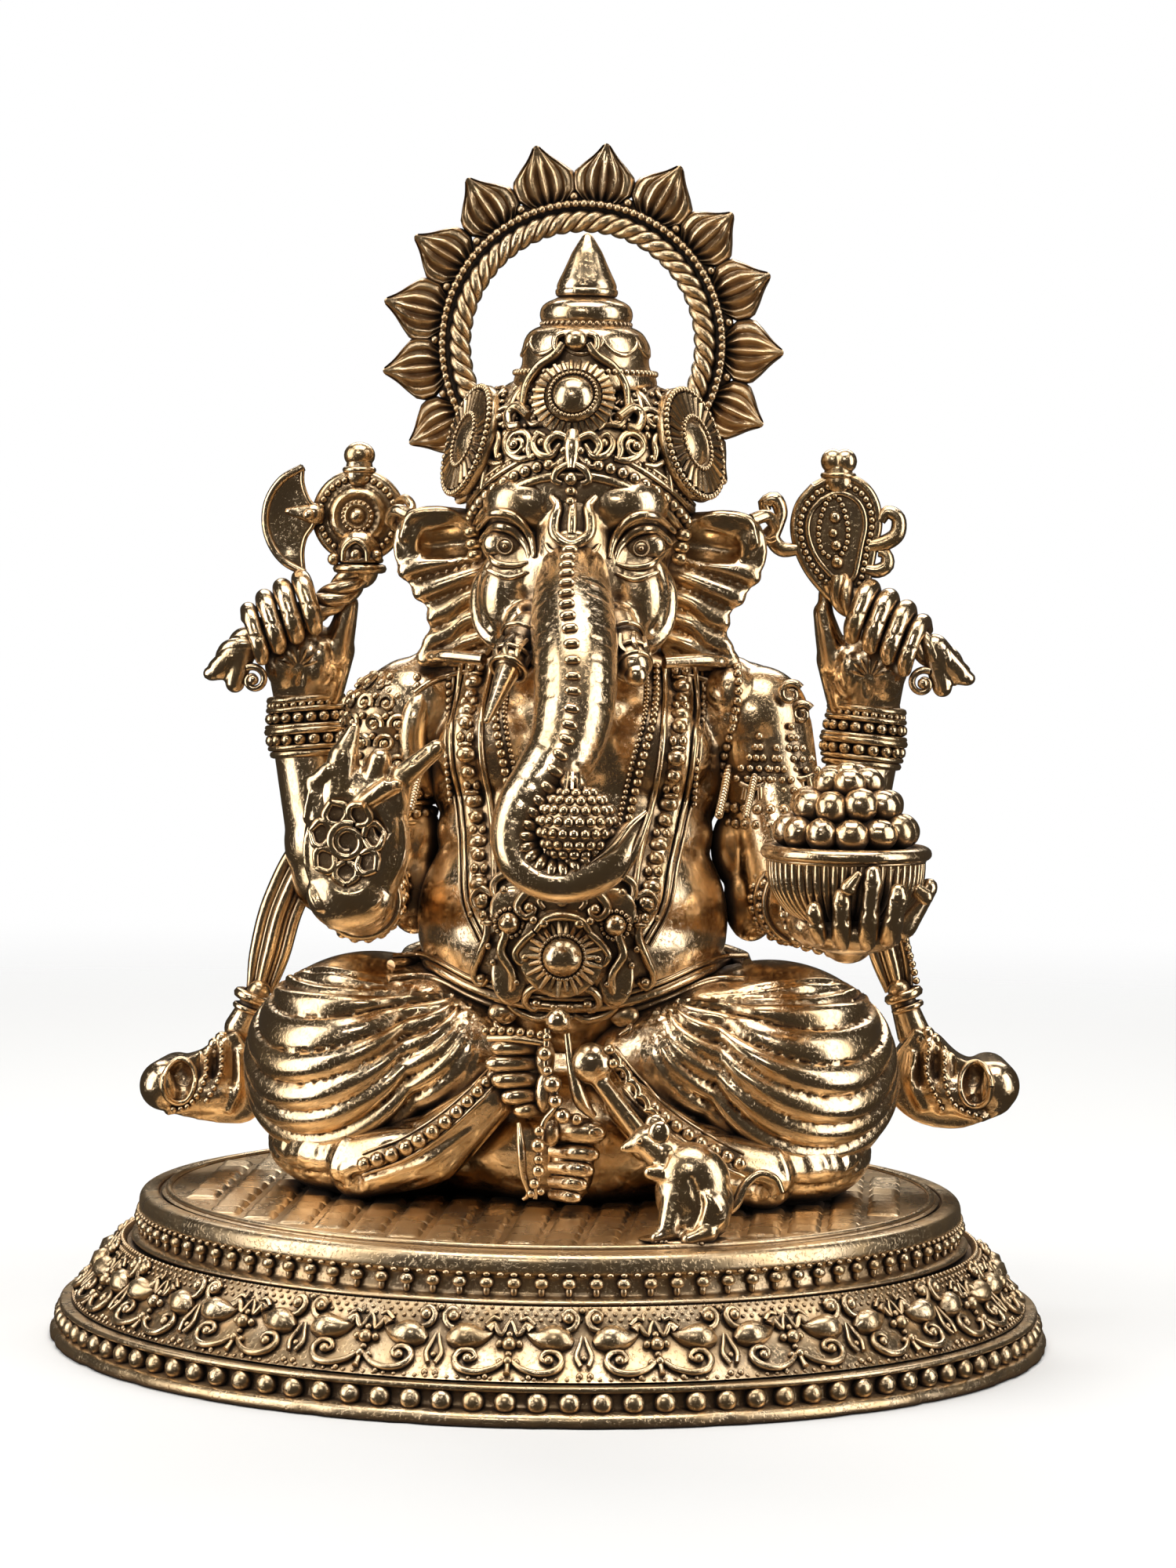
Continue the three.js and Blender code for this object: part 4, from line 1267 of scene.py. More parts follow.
def around(skin, angle, z, lift=0.0, axis=(0, 1)):
    """A place on a rounded skin found from outside it, by angle from the front, in degrees, and height."""
    turn = radians(angle)
    way = Vector((sin(turn), -cos(turn), 0))
    start = Vector((axis[0], axis[1], z)) + way * 60
    place, _, _, _ = skin.ray_cast(start, -way)
    place = place if place is not None else Vector((axis[0], axis[1], z)) + way * 12
    return place + way * lift


def hairline(x):
    """Height of the crown's lower edge over the brow."""
    return 110.6 - 7.6 * (abs(x) / 13.2) ** 2.2


def crown_band():
    bm = bmesh.new()
    core = bmesh.new()
    lump(core, (0, 0.6, 106), (13.6, 14.6, 12.4), rings=5)
    skin = BVHTree.FromBMesh(core)
    core.free()
    for rise, r, lift in ((-0.8, 0.62, 0.3), (2.4, 0.42, 0.7), (3.5, 0.3, 0.8)):
        rows = []
        for angle in range(-180, 181, 5):
            x = 13.2 * sin(radians(min(abs(angle), 90))) * (1 if angle >= 0 else -1)
            z = hairline(x) + rise - (2.0 * max(0, abs(angle) - 90) / 90)
            rows.append((*around(skin, angle, z, lift), r))
        wires(bm, [np.array(rows)], 2)
    for rise, r, count in ((0.75, 0.82, 58), (2.9, 0.5, 92)):
        for i in range(count):
            angle = -180 + 360 * i / count
            if rise > 2 and abs(angle) < 6:
                continue
            x = 13.2 * sin(radians(min(abs(angle), 90)))
            z = hairline(x) + rise - (2.0 * max(0, abs(angle) - 90) / 90)
            beads(bm, [(*around(skin, angle, z, 0.55), r)])
    for side in (-1, 1):
        for k, z in enumerate((102.6, 101.1, 99.7)):
            lump(bm, both((13.4 - 0.25 * k, -5, z), side), (1.1, 1, 0.85), rings=2)
    finish("crown_band", bm, CHASED)


def crown_dome():
    core = bmesh.new()
    lump(core, (0, 1, 107.5), (14.4, 14.6, 15.6), rings=4)
    for side in (-1, 1):
        lump(core, both((6.6, 1, 114), side), (6.8, 9.5, 8.4), rings=4)
    clay = Clay(core, 0.5, 4)
    skin = clay.skin()
    bm = clay.cast()
    cut_below(bm, 104.5)
    runs, spots = [], []
    for ring, (z, size, count, thick) in enumerate(((113.6, 1.9, 17, 0.5), (117, 1.55, 15, 0.46),
            (119.9, 1.15, 13, 0.4))):
        for i in range(count):
            angle = -180 + 360 * (i + 0.5 * ring) / count
            step = 360 / count
            if abs(angle) < 21 and z > 112:
                continue
            hand = 1 if angle > 0 else -1
            per = 57.3 / sqrt(max(9, 14.4**2 * (1 - ((z - 107.5) / 15.6) ** 2)))
            rows = [(hand * u, v, r) for u, v, r in curl((0, 0), size, 200, 1.35, -1, thick, 0.3)]
            rows = [(-hand * 2.2, -size * 0.9, thick * 0.5)] + rows
            run = flow([(u, 0, v, r) for u, v, r in rows], 0.4)
            runs.append(np.array([(*around(skin, angle + u * per, z + v, 0.55), r) for u, _, v, r in run]))
            spots.append((*around(skin, angle + hand * 0.4 * per, z, 0.6), thick * 1.35))
            spots.append((*around(skin, angle + step / 2, z + size * 0.7, 0.35), thick * 1.2))
            spots.append((*around(skin, angle + step / 2, z - size * 0.8, 0.35), thick * 1))
            spots.append((*around(skin, angle + step * 0.36, z - size * 0.1, 0.3), thick * 0.8))
    half = [
        [(1.6, 113.6, 0.36), (2.6, 112.2, 0.5), (4.2, 112.4, 0.5), (5, 113.8, 0.46), (4.2, 115, 0.4),
         (3.3, 114.3, 0.34), (3.9, 113.6, 0.28)],
        [(5.2, 112, 0.36), (6.8, 111.8, 0.5), (8.4, 112.8, 0.5), (8.6, 114.6, 0.44), (7.4, 115.4, 0.38),
         (6.7, 114.4, 0.32), (7.4, 113.9, 0.26)],
        [(2.4, 116.6, 0.3), (4.2, 116.2, 0.42), (5.8, 116.8, 0.5), (7, 118.4, 0.46), (6.4, 119.9, 0.4),
         (5.2, 119.6, 0.34), (5.6, 118.6, 0.28)],
        [(5, 121.6, 0.3), (6.6, 121.4, 0.4), (7.8, 119.6, 0.46), (8.6, 117.4, 0.44), (10, 116.6, 0.38),
         (10.6, 117.8, 0.3), (9.8, 118.4, 0.24)],
        [(8.8, 111.4, 0.32), (10.2, 111.2, 0.44), (11.4, 112.2, 0.44), (11.2, 113.8, 0.38),
         (10.1, 113.8, 0.3), (10.3, 113, 0.24)],
        [(0.5, 112.6, 0.34), (1.5, 111.4, 0.42), (2.6, 110.9, 0.36), (3.4, 111.4, 0.26)],
    ]
    for rows in half:
        for side in (-1, 1):
            runs.append(laid([(x * side - 0.2, z, r) for x, z, r in rows], [skin], 1))
    for x, z, r in ((3.9, 113.9, 0.6), (7.4, 114, 0.55), (5.8, 118.9, 0.55), (10, 117.8, 0.5),
                    (2, 115.2, 0.55), (10.3, 113.2, 0.45), (6, 112.9, 0.4), (8.9, 115.9, 0.45),
                    (4.4, 120.9, 0.42), (6.2, 115.9, 0.42), (9.3, 120.2, 0.4), (1.2, 116.7, 0.4)):
        for side in (-1, 1):
            place = front(x * side - 0.2, z, [skin])
            spots.append((x * side - 0.2, place.y - 0.45, z, r))
    wires(bm, runs, 2)
    beads(bm, spots)
    for side in (-1, 1):
        rows = [(*around(skin, side * angle, z, 0.2), 0.5)
                for angle, z in ((54, 108), (53, 112), (52, 116), (50, 120), (46, 122))]
        wire(bm, rows)
    finish("crown_dome", bm, CHASED)


def crown_tiers():
    outline = [(0, 120.5), (8.9, 120.5), (9.2, 121.6), (8.9, 122.8), (8.3, 123.4), (8.05, 124.2),
               (8.1, 125.6), (7.95, 126.8), (7.4, 127.9), (6.6, 128.5), (5.8, 128.8), (5.5, 129.2),
               (5.8, 129.6), (5.95, 130.4), (5.7, 131.3), (5, 131.9), (4, 132.3), (3.7, 132.5), (0, 132.6)]
    bm = spun(round_profile(outline, 0.3, 1), 96)
    for i in range(9):
        hold = Matrix.Rotation(tau * i / 9, 4, "Z")
        rows = [(-2.7, -7, 127.4, 0.2), (-2.5, -7.5, 126.4, 0.3), (-1.3, -7.85, 125.4, 0.34),
                (0, -8.05, 125.1, 0.36), (1.3, -7.85, 125.4, 0.34), (2.5, -7.5, 126.4, 0.3),
                (2.7, -7, 127.4, 0.2)]
        wire(bm, [(*(hold @ Vector(r[:3])), r[3]) for r in rows])
        lump(bm, hold @ Vector((2.8, -7.2, 126.5)), (0.45, 0.4, 0.6), rings=2)
    bead_run(bm, [(8.9 * sin(a), -8.9 * cos(a), 122.9, 0.42) for a in np.linspace(0, tau, 57)], 1.05)
    for i in range(40):
        angle = tau * i / 40
        beads(bm, [(5.6 * sin(angle), -5.6 * cos(angle), 129.1, 0.34)])
    bmesh.ops.translate(bm, vec=(CROWN_LEAN, 0, 0), verts=bm.verts)
    finish("crown_tiers", bm, GOLD)


def crown_finial():
    outline = [(0, 132.5), (3.6, 132.5), (3.95, 132.8), (4, 133.4), (3.75, 133.6), (3.85, 133.9),
               (3.6, 134.6), (3.2, 135.4), (2.6, 136.7), (1.95, 138.2), (1.1, 139.6), (0.5, 140.5),
               (0, 140.75)]
    bm = spun(round_profile(outline, 0.2, 1), 72)
    bmesh.ops.translate(bm, vec=(CROWN_LEAN, 0, 0), verts=bm.verts)
    finish("crown_finial", bm, GOLD)


def crown_jewel():
    bm = spun([(0, -1.4), (4.9, -1.4), (5.1, -0.5), (3.6, -0.1), (3.5, 0.5), (3.2, 0.9), (2.7, 0.7),
               (2.4, 1.2), (1.6, 2), (0.8, 2.35), (0, 2.45)], 64)
    for i in range(30):
        angle = tau * i / 30
        wire(bm, [(3.6 * cos(angle), 3.6 * sin(angle), 0.2, 0.32),
                  (5.2 * cos(angle), 5.2 * sin(angle), -0.5, 0.3)], 1, 0.8)
    bead_run(bm, hoop(2.95, 0.95, 0.25, 33), 1)
    wire(bm, [(x, y, 2.0 - 0.14 * (x * x + y * y) + 0.1, r)
              for x, y, r in curl((0, 0), 1.7, 120, 1.3, -1, 0.28, 0.15)])
    bmesh.ops.transform(bm, matrix=facing((-0.3, -10.9, 119.6), (0, -1, 0.42)), verts=bm.verts)
    for side in (-1, 1):
        for rows in (((6.6, -8.4, 118.6, 0.45), (6.2, -7.3, 121.2, 0.6), (4.6, -7.4, 123.6, 0.66),
                      (2.6, -8.3, 125, 0.6), (1.6, -8.4, 126.4, 0.5)),
                     ((1.5, -7.9, 127.6, 0.5), (2.5, -8, 127.2, 0.5), (2.6, -8.3, 125.9, 0.45),
                      (1.9, -8.6, 125.2, 0.4)),
                     ((5.6, -10.5, 117.2, 0.6), (7.2, -8.3, 118.4, 0.7), (8.4, -8.2, 117.4, 0.65),
                      (8, -9.7, 115.9, 0.6), (6.8, -10.4, 116, 0.55))):
            wire(bm, [(-0.3 + side * x, y, z, r) for x, y, z, r in rows])
    lump(bm, (-0.3, -8.4, 126.8), (1.45, 1.2, 1.35), rings=3)
    bird = [[(-0.2, -12.3, 115.2, 0.9), (-0.2, -13.1, 113.6, 1.15), (-0.2, -13.5, 112, 0.95),
             (-0.2, -14.2, 110.6, 0.55)],
            [(-0.4, -12.8, 114.2, 0.5), (-2.2, -12.5, 114.9, 0.6), (-3.4, -12.6, 113.6, 0.55),
             (-2.8, -13.2, 112.4, 0.4)],
            [(0.2, -12.8, 114.2, 0.5), (2, -12.5, 114.9, 0.6), (3.2, -12.7, 113.6, 0.55),
             (2.6, -13.4, 112.4, 0.4)],
            [(-0.6, -14, 111.2, 0.45), (-1.9, -14.2, 110.4, 0.5), (-2.3, -14.2, 109.2, 0.45),
             (-1.4, -14.2, 108.8, 0.35)],
            [(0.3, -14, 111.2, 0.45), (1.6, -14.2, 110.4, 0.5), (2, -14.2, 109.2, 0.45),
             (1.1, -14.2, 108.8, 0.35)]]
    for rows in bird:
        wire(bm, rows)
    for x, z, r, y in ((-1.2, 112.9, 0.5, -13.7), (0.9, 112.9, 0.5, -13.7), (-0.2, 109.4, 0.85, -14.6),
                       (-0.2, 107.9, 0.7, -14.2), (-0.2, 106.6, 0.6, -14.6)):
        lump(bm, (x, y, z), r, rings=2)
    finish("crown_jewel", bm, CHASED)


def crown_disc(name, side):
    bm = spun([(0, -1.5), (7, -1.5), (7.5, -0.9), (7.4, -0.2), (6.7, 0.1), (6.4, -0.25), (4, 0.1),
               (3.7, 0.5), (3.2, 0.5), (2.9, 0.3), (1.9, 0.9), (0, 1.3)], 72)
    for i in range(28):
        angle = tau * i / 28
        wire(bm, [(3.8 * cos(angle), 3.8 * sin(angle), 0.3, 0.34),
                  (6.5 * cos(angle), 6.5 * sin(angle), 0.15, 0.5)], 1, 0.8)
    bead_run(bm, hoop(7.05, 0.15, 0.42, 49), 1)
    bead_run(bm, hoop(3.45, 0.6, 0.33, 33), 1)
    bmesh.ops.transform(bm, matrix=facing(both((14.4, -2.2, 114.2), side), both((1, -0.45, 0.3), side)),
                        verts=bm.verts)
    finish(f"{name}_crown_disc", bm, CHASED)


HALO = cad("halo_ring")
HALO_X = (HALO[0].x + HALO[1].x) / 2 - FIGURE_X
HALO_Y = (HALO[0].y + HALO[1].y) / 2
HALO_Z = (HALO[0].z + HALO[1].z) / 2
ROPE_R = 16.05


def halo_ring():
    bm = bmesh.new()
    strands = 3
    turns = 52
    for strand in range(strands):
        angle = np.linspace(0, tau, turns * 9)
        twist = angle * turns / strands + strand * tau / strands
        reach = ROPE_R + 0.8 * np.cos(twist)
        run = np.c_[reach * np.cos(angle), -0.8 * np.sin(twist), reach * np.sin(angle),
                    np.full(len(angle), 0.72)]
        wires(bm, [run], 3)
    core = [(ROPE_R * cos(a), 0.2, ROPE_R * sin(a), 0.85) for a in np.linspace(0, tau, 97)]
    wires(bm, [np.array(core)], 2)
    bmesh.ops.translate(bm, vec=(HALO_X, HALO_Y, HALO_Z), verts=bm.verts)
    finish("halo_ring", bm, BASE)


def petal():
    bm = bmesh.new()
    bmesh.ops.create_grid(bm, x_segments=36, y_segments=16, size=1)
    spans = np.array([(0, 0.3), (0.1, 0.62), (0.25, 0.92), (0.42, 1), (0.56, 0.93), (0.7, 0.68),
                      (0.84, 0.38), (0.94, 0.22), (1, 0.13)])
    for v in bm.verts:
        u, t = v.co.x, (v.co.y + 1) / 2
        width = np.interp(t, spans[:, 0], spans[:, 1]) * 4.2
        fan = max(0, 1 - (u * u) ** 2) * min(1, max(0, 0.86 - t) / 0.3)
        groove = 0.42 * cos(u * 5.6 * pi) * fan
        dome = 1.7 * sqrt(max(0, 1 - u * u)) * sin(pi * min(1, 0.2 + 0.8 * (1 - t))) ** 0.7
        rim = 0.75 * exp(-((abs(u) - 0.9) / 0.075) ** 2) * min(1, 0.3 + 2 * t)
        lift = 1.9 * t**3
        v.co = (u * width, 7.9 * t + 0.3 * (1 - u * u), dome + groove + rim + lift)
    made = bmesh.ops.extrude_face_region(bm, geom=bm.faces[:], use_keep_orig=True)
    bmesh.ops.translate(bm, vec=(0, 0, -0.8),
                        verts=[g for g in made["geom"] if isinstance(g, bmesh.types.BMVert)])
    bmesh.ops.recalc_face_normals(bm, faces=bm.faces)
    return as_mesh(bm)


def halo_petals():
    bm = bmesh.new()
    shape = petal()
    lay_back = Matrix.Rotation(radians(90), 4, "X")
    for i in range(PETALS):
        angle = radians(FIRST_PETAL + 360 * i / PETALS)
        wobble = 1 + 0.03 * sin(i * 2.1)
        stand = Matrix.Rotation(angle, 4, "Y") @ Matrix.Translation((0, 0.9,
                17.95)) @ Matrix.Rotation(radians(3 * sin(i * 1.7)), 4, "Y")
        stamp(bm, shape, [stand @ lay_back @ Matrix.Scale(wobble, 4)])
    count = 104
    beads(bm, [(18.3 * cos(tau * i / count), -0.8, 18.3 * sin(tau * i / count), 0.5) for i in range(count)])
    wires(bm, [np.array([(18.3 * cos(a), -0.3, 18.3 * sin(a), 0.42) for a in np.linspace(0, tau, 121)])], 2)
    for i in range(PETALS):
        angle = radians(FIRST_PETAL + 360 * (i + 0.5) / PETALS)
        lump(bm, (19.3 * sin(angle), -0.1, 19.3 * cos(angle)), (0.55, 0.6, 0.55), rings=2)
    flat = spun([(15.4, -0.4), (19.6, -0.4), (19.9, 0), (19.6, 0.6), (15.4, 0.6), (15.4, -0.4)], 120)
    bmesh.ops.rotate(flat, matrix=Matrix.Rotation(radians(90), 3, "X"), verts=flat.verts)
    bmesh.ops.translate(flat, vec=(0, 1.3, 0), verts=flat.verts)
    join(bm, flat)
    bmesh.ops.translate(bm, vec=(HALO_X, HALO_Y, HALO_Z), verts=bm.verts)
    finish("halo_petals", bm, BASE)


def halo_bracket():
    root, tip = (0, 8, 107), (HALO_X, HALO_Y + 1, HALO_Z - 18.5)
    bm = bmesh.new()
    limb(bm, root, tip, 3.2, 2.2)
    limb(bm, tip, (HALO_X, HALO_Y + 1, HALO_Z - 16.5), 2.2, 1.4)
    clay = Clay(bm, 0.4, 3)
    bm = clay.cast()
    for share in (0.4, 0.7):
        wire(bm, held(root, tip, share, hoop(3.2 - share, 0, 0.4, 25)))
    finish("halo_bracket", bm, GOLD)


head()
trunk()
trunk_sweet()
tusk("right", -1)
tusk("left", 1)
ear("right", -1)
ear("left", 1)
crown_band()
crown_dome()
crown_tiers()
crown_finial()
crown_jewel()
crown_disc("right", -1)
crown_disc("left", 1)
halo_ring()
halo_petals()
halo_bracket()


# ---------------------------------------------------------------- arms, hands and what they hold

def ring_on(bm, a, b, share, radius, thick):
    """A round ring about the line from a to b."""
    wires(bm, [np.array(held(a, b, share, hoop(radius, 0, thick, 41)))])


def beads_on(bm, a, b, share, radius, size):
    """A row of beads about the line from a to b."""
    count = round(tau * radius / (2.05 * size))
    beads(bm, held(a, b, share, hoop(radius, 0, size, count + 1)[:-1]))


def arm_part(name, a, b, ra, rb, extra=()):
    bm = bmesh.new()
    limb(bm, a, b, ra, rb)
    for centre, radii in extra:
        lump(bm, centre, radii)
    finish(f"{name}", Clay(bm, 0.45, 4).cast(), GOLD)


REAR = {"shoulder": (20, 12, 78), "elbow": (33, 12, 57), "wrist": (36.6, 13.4, 75.5)}


def rear_arm(name, side):
    shoulder, elbow, wrist = (both(REAR[k], side) for k in ("shoulder", "elbow", "wrist"))
    arm_part(f"{name}_rear_upper_arm", shoulder, elbow, 6, 5)
    arm_part(f"{name}_rear_forearm", elbow, wrist, 5, 4.5, [(both((33.8, 12, 62), side), (5.4, 5.2, 7))])
    low, high = Vector(both((36.1, 13.2, 73.2), side)), Vector(both((36.7, 13.5, 80.6), side))
    bm = bmesh.new()
    limb(bm, low, high, 4.55, 4.35)
    for share, radius, thick in ((0.02, 4.75, 0.5), (0.13, 5.1, 0.36), (0.42, 5.3, 0.5), (0.5, 5.3, 0.36),
            (0.8, 5, 0.4), (0.97, 4.7, 0.55)):
        ring_on(bm, low, high, share, radius, thick)
    for share, radius, size in ((0.27, 4.9, 0.86), (0.65, 4.8, 0.8), (0.88, 4.7, 0.55)):
        beads_on(bm, low, high, share, radius, size)
    finish(f"{name}_rear_bracelet", bm, CHASED)


def handle_run(side):
    if side < 0:
        return [(-47.6, 8.2, 83.9, 1.4), (-45.4, 8, 86.4, 1.9), (-42.6, 8, 88.6, 1.9),
                (-39, 8.2, 90.5, 1.75), (-35.1, 8.6, 92.2, 1.75), (-31.6, 9, 94.6, 1.85),
                (-29.6, 9.4, 97.2, 1.9)]
    return [(48.8, 8.2, 85, 1.4), (46.4, 8, 87.2, 1.9), (43.8, 8, 88.8, 1.9), (40, 8.2, 90.6, 1.75),
            (36.4, 8.6, 92.6, 1.75), (33.6, 9, 95, 1.8), (32.4, 9.4, 97.2, 1.8)]


def handle(name, side):
    """The twisted grip, with its flared and scrolled lower end."""
    run = flow(handle_run(side), 0.25)
    bm = bmesh.new()
    thin = run.copy()
    thin[:, 3] *= 0.8
    wires(bm, [thin], 4)
    way, across = across_run(run)
    over = np.cross(way, across)
    gone = gone_along(run)
    for strand in range(4):
        turn = gone * 0.62 + strand * tau / 4
        rows = run[:, :3] + run[:, 3:] * 0.62 * (np.cos(turn)[:, None] * across + np.sin(turn)[:,
                None] * over)
        wires(bm, [np.c_[rows, run[:, 3] * 0.5]], 3)
    x = abs(run[0][0])
    z = run[0][2]
    lip = bmesh.new()
    limb(lip, both((x - 3.6, 8, z + 3.4), side), both((x - 0.3, 7.6, z + 0.4), side), 2.1, 1.5)
    limb(lip, both((x - 3.4, 7.6, z + 2.4), side), both((x - 2.4, 7.4, z - 1.4), side), 1.6, 1.3)
    lump(lip, both((x + 0.6, 7.6, z - 0.2), side), (1.3, 1.1, 1))
    clay = Clay(lip, 0.3, 3)
    clay.stroke(sided(side, (x - 4.6, 5.4, z + 3.4, 0.7), (x - 2.9, 5.4, z + 1.6, 0.7),
                      (x - 2.2, 5.6, z - 1.6, 0.5)), 0.7)
    clay.stroke(sided(side, (x - 3.8, 5.4, z + 3.9, 0.6), (x - 1.8, 5.4, z + 2, 0.6),
                      (x - 1, 5.6, z - 1.2, 0.5)), -0.8)
    clay.stroke(sided(side, (x - 2.6, 5.4, z + 4.4, 0.6), (x - 0.8, 5.4, z + 1.8, 0.6),
                      (x + 0.4, 5.8, z - 0.4, 0.5)), 0.6)
    clay.into(bm)
    eye = curl((x - 4.9, z - 0.9), 1.8, 60, 1.15, 1, 0.5, 0.25)
    wire(bm, [(u * side, 6.6, v, r) for u, v, r in eye])
    lump(bm, both((x - 4.9, 6.5, z - 0.9), side), (0.75, 0.7, 0.75), rings=2)
    finish(f"{name}", bm, GOLD)


def rear_hand(name, side):
    """A closed hand about the grip: heel, thumb side and four fingers over the top."""
    bm = bmesh.new()
    limb(bm, both((36.8, 13, 80.4), side), both((36.9, 12.4, 84), side), 4.1, 4.6)
    lump(bm, both((37.2, 11.4, 86.2), side), (4.9, 3.6, 5), (0, 8 * side, 0))
    lump(bm, both((39.2, 9.8, 84.8), side), (2.5, 2.5, 3.4), (0, 12 * side, 0))
    lump(bm, both((34.4, 10, 85.4), side), (2.2, 2.4, 3.6))
    limb(bm, both((33.6, 11.6, 81), side), both((32.2, 11.2, 87), side), 2, 2.2)
    limb(bm, both((32.6, 11, 86), side), both((30.8, 10.4, 93), side), 2.3, 1.3)
    limb(bm, both((31.2, 10.4, 93), side),
         both((30.9 if side > 0 else 31.3, 10.2, 95.4 if side > 0 else 93.6), side), 1.05, 0.75)
    knuckles = [(36.4, 94.3, 1.38), (38.8, 93.1, 1.42), (41.1, 91.7, 1.36), (43.2, 90.1, 1.2)]
    clay = Clay(bm, 0.36, 3)
    clay.stroke(sided(side, (34.6, 7, 89.6, 0.9), (37.4, 7, 88.4, 0.9), (40.6, 7, 87.4, 0.8)), -0.6)
    clay.stroke(sided(side, (36.6, 7, 89.4, 0.7), (36.2, 7, 86, 0.7), (36.8, 8, 82.4, 0.6)), -0.55)
    skin = clay.skin()
    bm = clay.cast()
    for x, z, r in knuckles:
        run = [(x + 1, 11.4, z + 0.6, r * 0.8), (x + 0.6, 8.8, z + 1.9, r * 0.9),
               (x - 0.1, 6.5, z + 1, r * 0.98), (x - 0.9, 5.6, z - 1, r * 0.88),
               (x - 1.5, 5.5, z - 2.8, r * 0.94), (x - 1.7, 6, z - 4.2, r * 0.8),
               (x - 1.7, 6.6, z - 4.9, r * 0.4)]
        bone = bmesh.new()
        wires(bone, [flow([both(p[:3], side) + (p[3],) for p in run], 0.3)], 6)
        lump(bone, both((x - 1.7, 6.1, z - 4.3), side), r * 0.8)
        finger = Clay(bone, 0.27, 2)
        finger.stroke(sided(side, (x - 2.2, 4.6, z - 1.4, 0.45), (x + 0.4, 4.6, z - 1.6, 0.45)), -0.25)
        finger.into(bm)
    petals = []
    for k in range(7):
        turn = radians(-70 + 140 * k / 6)
        petals.append(laid([(side * (37.0 + 0.7 * sin(turn)), 84.6 + 0.7 * cos(turn), 0.12),
                            (side * (37.0 + 1.9 * sin(turn)), 84.6 + 1.9 * cos(turn), 0.26),
                            (side * (37.0 + 2.7 * sin(turn)), 84.6 + 2.7 * cos(turn), 0.12)], [skin], 0.2, 8))
    wires(bm, petals, 1)
    finish(f"{name}_rear_hand", bm, GOLD)


def axe_head():
    centre = Vector((-29.7, 10, 104.4))
    bm = spun([(0, -1.6), (5.6, -1.6), (6.1, -1.1), (6.1, -0.2), (5.7, 0.25), (5.2, 0.3), (4.2, 0.25),
               (3.75, 0.5), (3.5, 1.15), (3, 1.35), (2.6, 1), (2.2, 0.9), (1.9, 1.35), (1.5, 1.5),
               (1.1, 1.2), (0.8, 1.6), (0.45, 1.95), (0, 2.05)], 96)
    bead_run(bm, hoop(4.95, 0.5, 0.46, 49), 1.04)
    bead_run(bm, hoop(1.9, 1.4, 0.24, 25), 1.3)
    bmesh.ops.transform(bm, matrix=Matrix.Translation(centre) @ Matrix.Rotation(radians(90), 4, "X"),
                        verts=bm.verts)
    limb(bm, centre + Vector((0, 0.6, 5.4)), centre + Vector((0, 0.6, 6.8)), 1.9, 1.7)
    ring_on(bm, centre + Vector((0, 0.6, 5.6)), centre + Vector((0, 0.6, 6.6)), 0.4, 1.8, 0.42)
    lump(bm, centre + Vector((0, 0.6, 7.9)), (2.05, 1.9, 1.75))
    neck = bmesh.new()
    limb(neck, (-29.5, 10, 100.2), (-29.4, 10, 97.4), 2.9, 2.5)
    Clay(neck, 0.35, 3).into(bm)
    for z, r, thick in ((97.6, 2.9, 0.62), (98.7, 2.7, 0.4)):
        ring_on(bm, (-29.4, 9.9, z), (-29.4, 9.9, z + 1), 0, r, thick)
    arch = [(-31.2, 6.7, 98.6, 0.34), (-31, 6.8, 100.2, 0.4), (-29.6, 6.9, 101.3, 0.45),
            (-28.2, 6.8, 100.2, 0.4), (-28, 6.7, 98.6, 0.34)]
    wire(bm, arch)
    lump(bm, (-29.6, 7.3, 99.4), (0.9, 0.8, 0.9))
    for dx, z in ((-3, 98.8), (2.6, 99.3)):
        lump(bm, (-29.6 + dx, 8.2, z), 0.85, rings=2)
    link = [(-24.4, 8.8, 106.3, 0.6), (-23.2, 7.2, 106.7, 0.65), (-22.2, 5.6, 105.6, 0.6),
            (-22.9, 4.4, 104.6, 0.5)]
    wire(bm, link)
    wire(bm, [(-24.2, 9, 102.3, 0.6), (-23.3, 7.6, 101.3, 0.6), (-22.6, 5.8, 101.4, 0.5)])
    finish("axe_head", bm, CHASED)


def axe_blade():
    outer = [(-36.9, 110.6), (-39.6, 109), (-41.3, 106.4), (-41.7, 103.4), (-40.9, 100.6), (-39.2, 98.4),
             (-36.6, 97)]
    inner = [(-36.8, 99.6), (-36.4, 101.6), (-35.4, 103.2), (-35.2, 105.2), (-36.2, 106.6), (-36.9, 108.6)]
    bm = slab(outer + inner, 8.9, 1.5)
    clay = Clay(bm, 0.26, 3)
    clay.stroke([(-38.6, 8.6, 107, 2.2), (-39.3, 8.6, 103.8, 2.5), (-38.4, 8.6, 100.6, 2)], -0.35)
    bm = clay.cast()
    wire(bm, [(x, 8.9, z, 0.52) for x, z in outer])
    wire(bm, [(x, 10.2, z, 0.45) for x, z in outer])
    wire(bm, [(x, 8.9, z, 0.3) for x, z in outer[-1:] + inner + outer[:1]])
    lug = bmesh.new()
    limb(lug, (-38.8, 9.2, 104.9), (-35.4, 9.4, 104.6), 0.5, 1.5)
    Clay(lug, 0.3, 2).into(bm)
    lump(bm, (-35.9, 8, 104.5), (0.75, 0.7, 0.75), rings=2)
    finish("axe_blade", bm, GOLD)


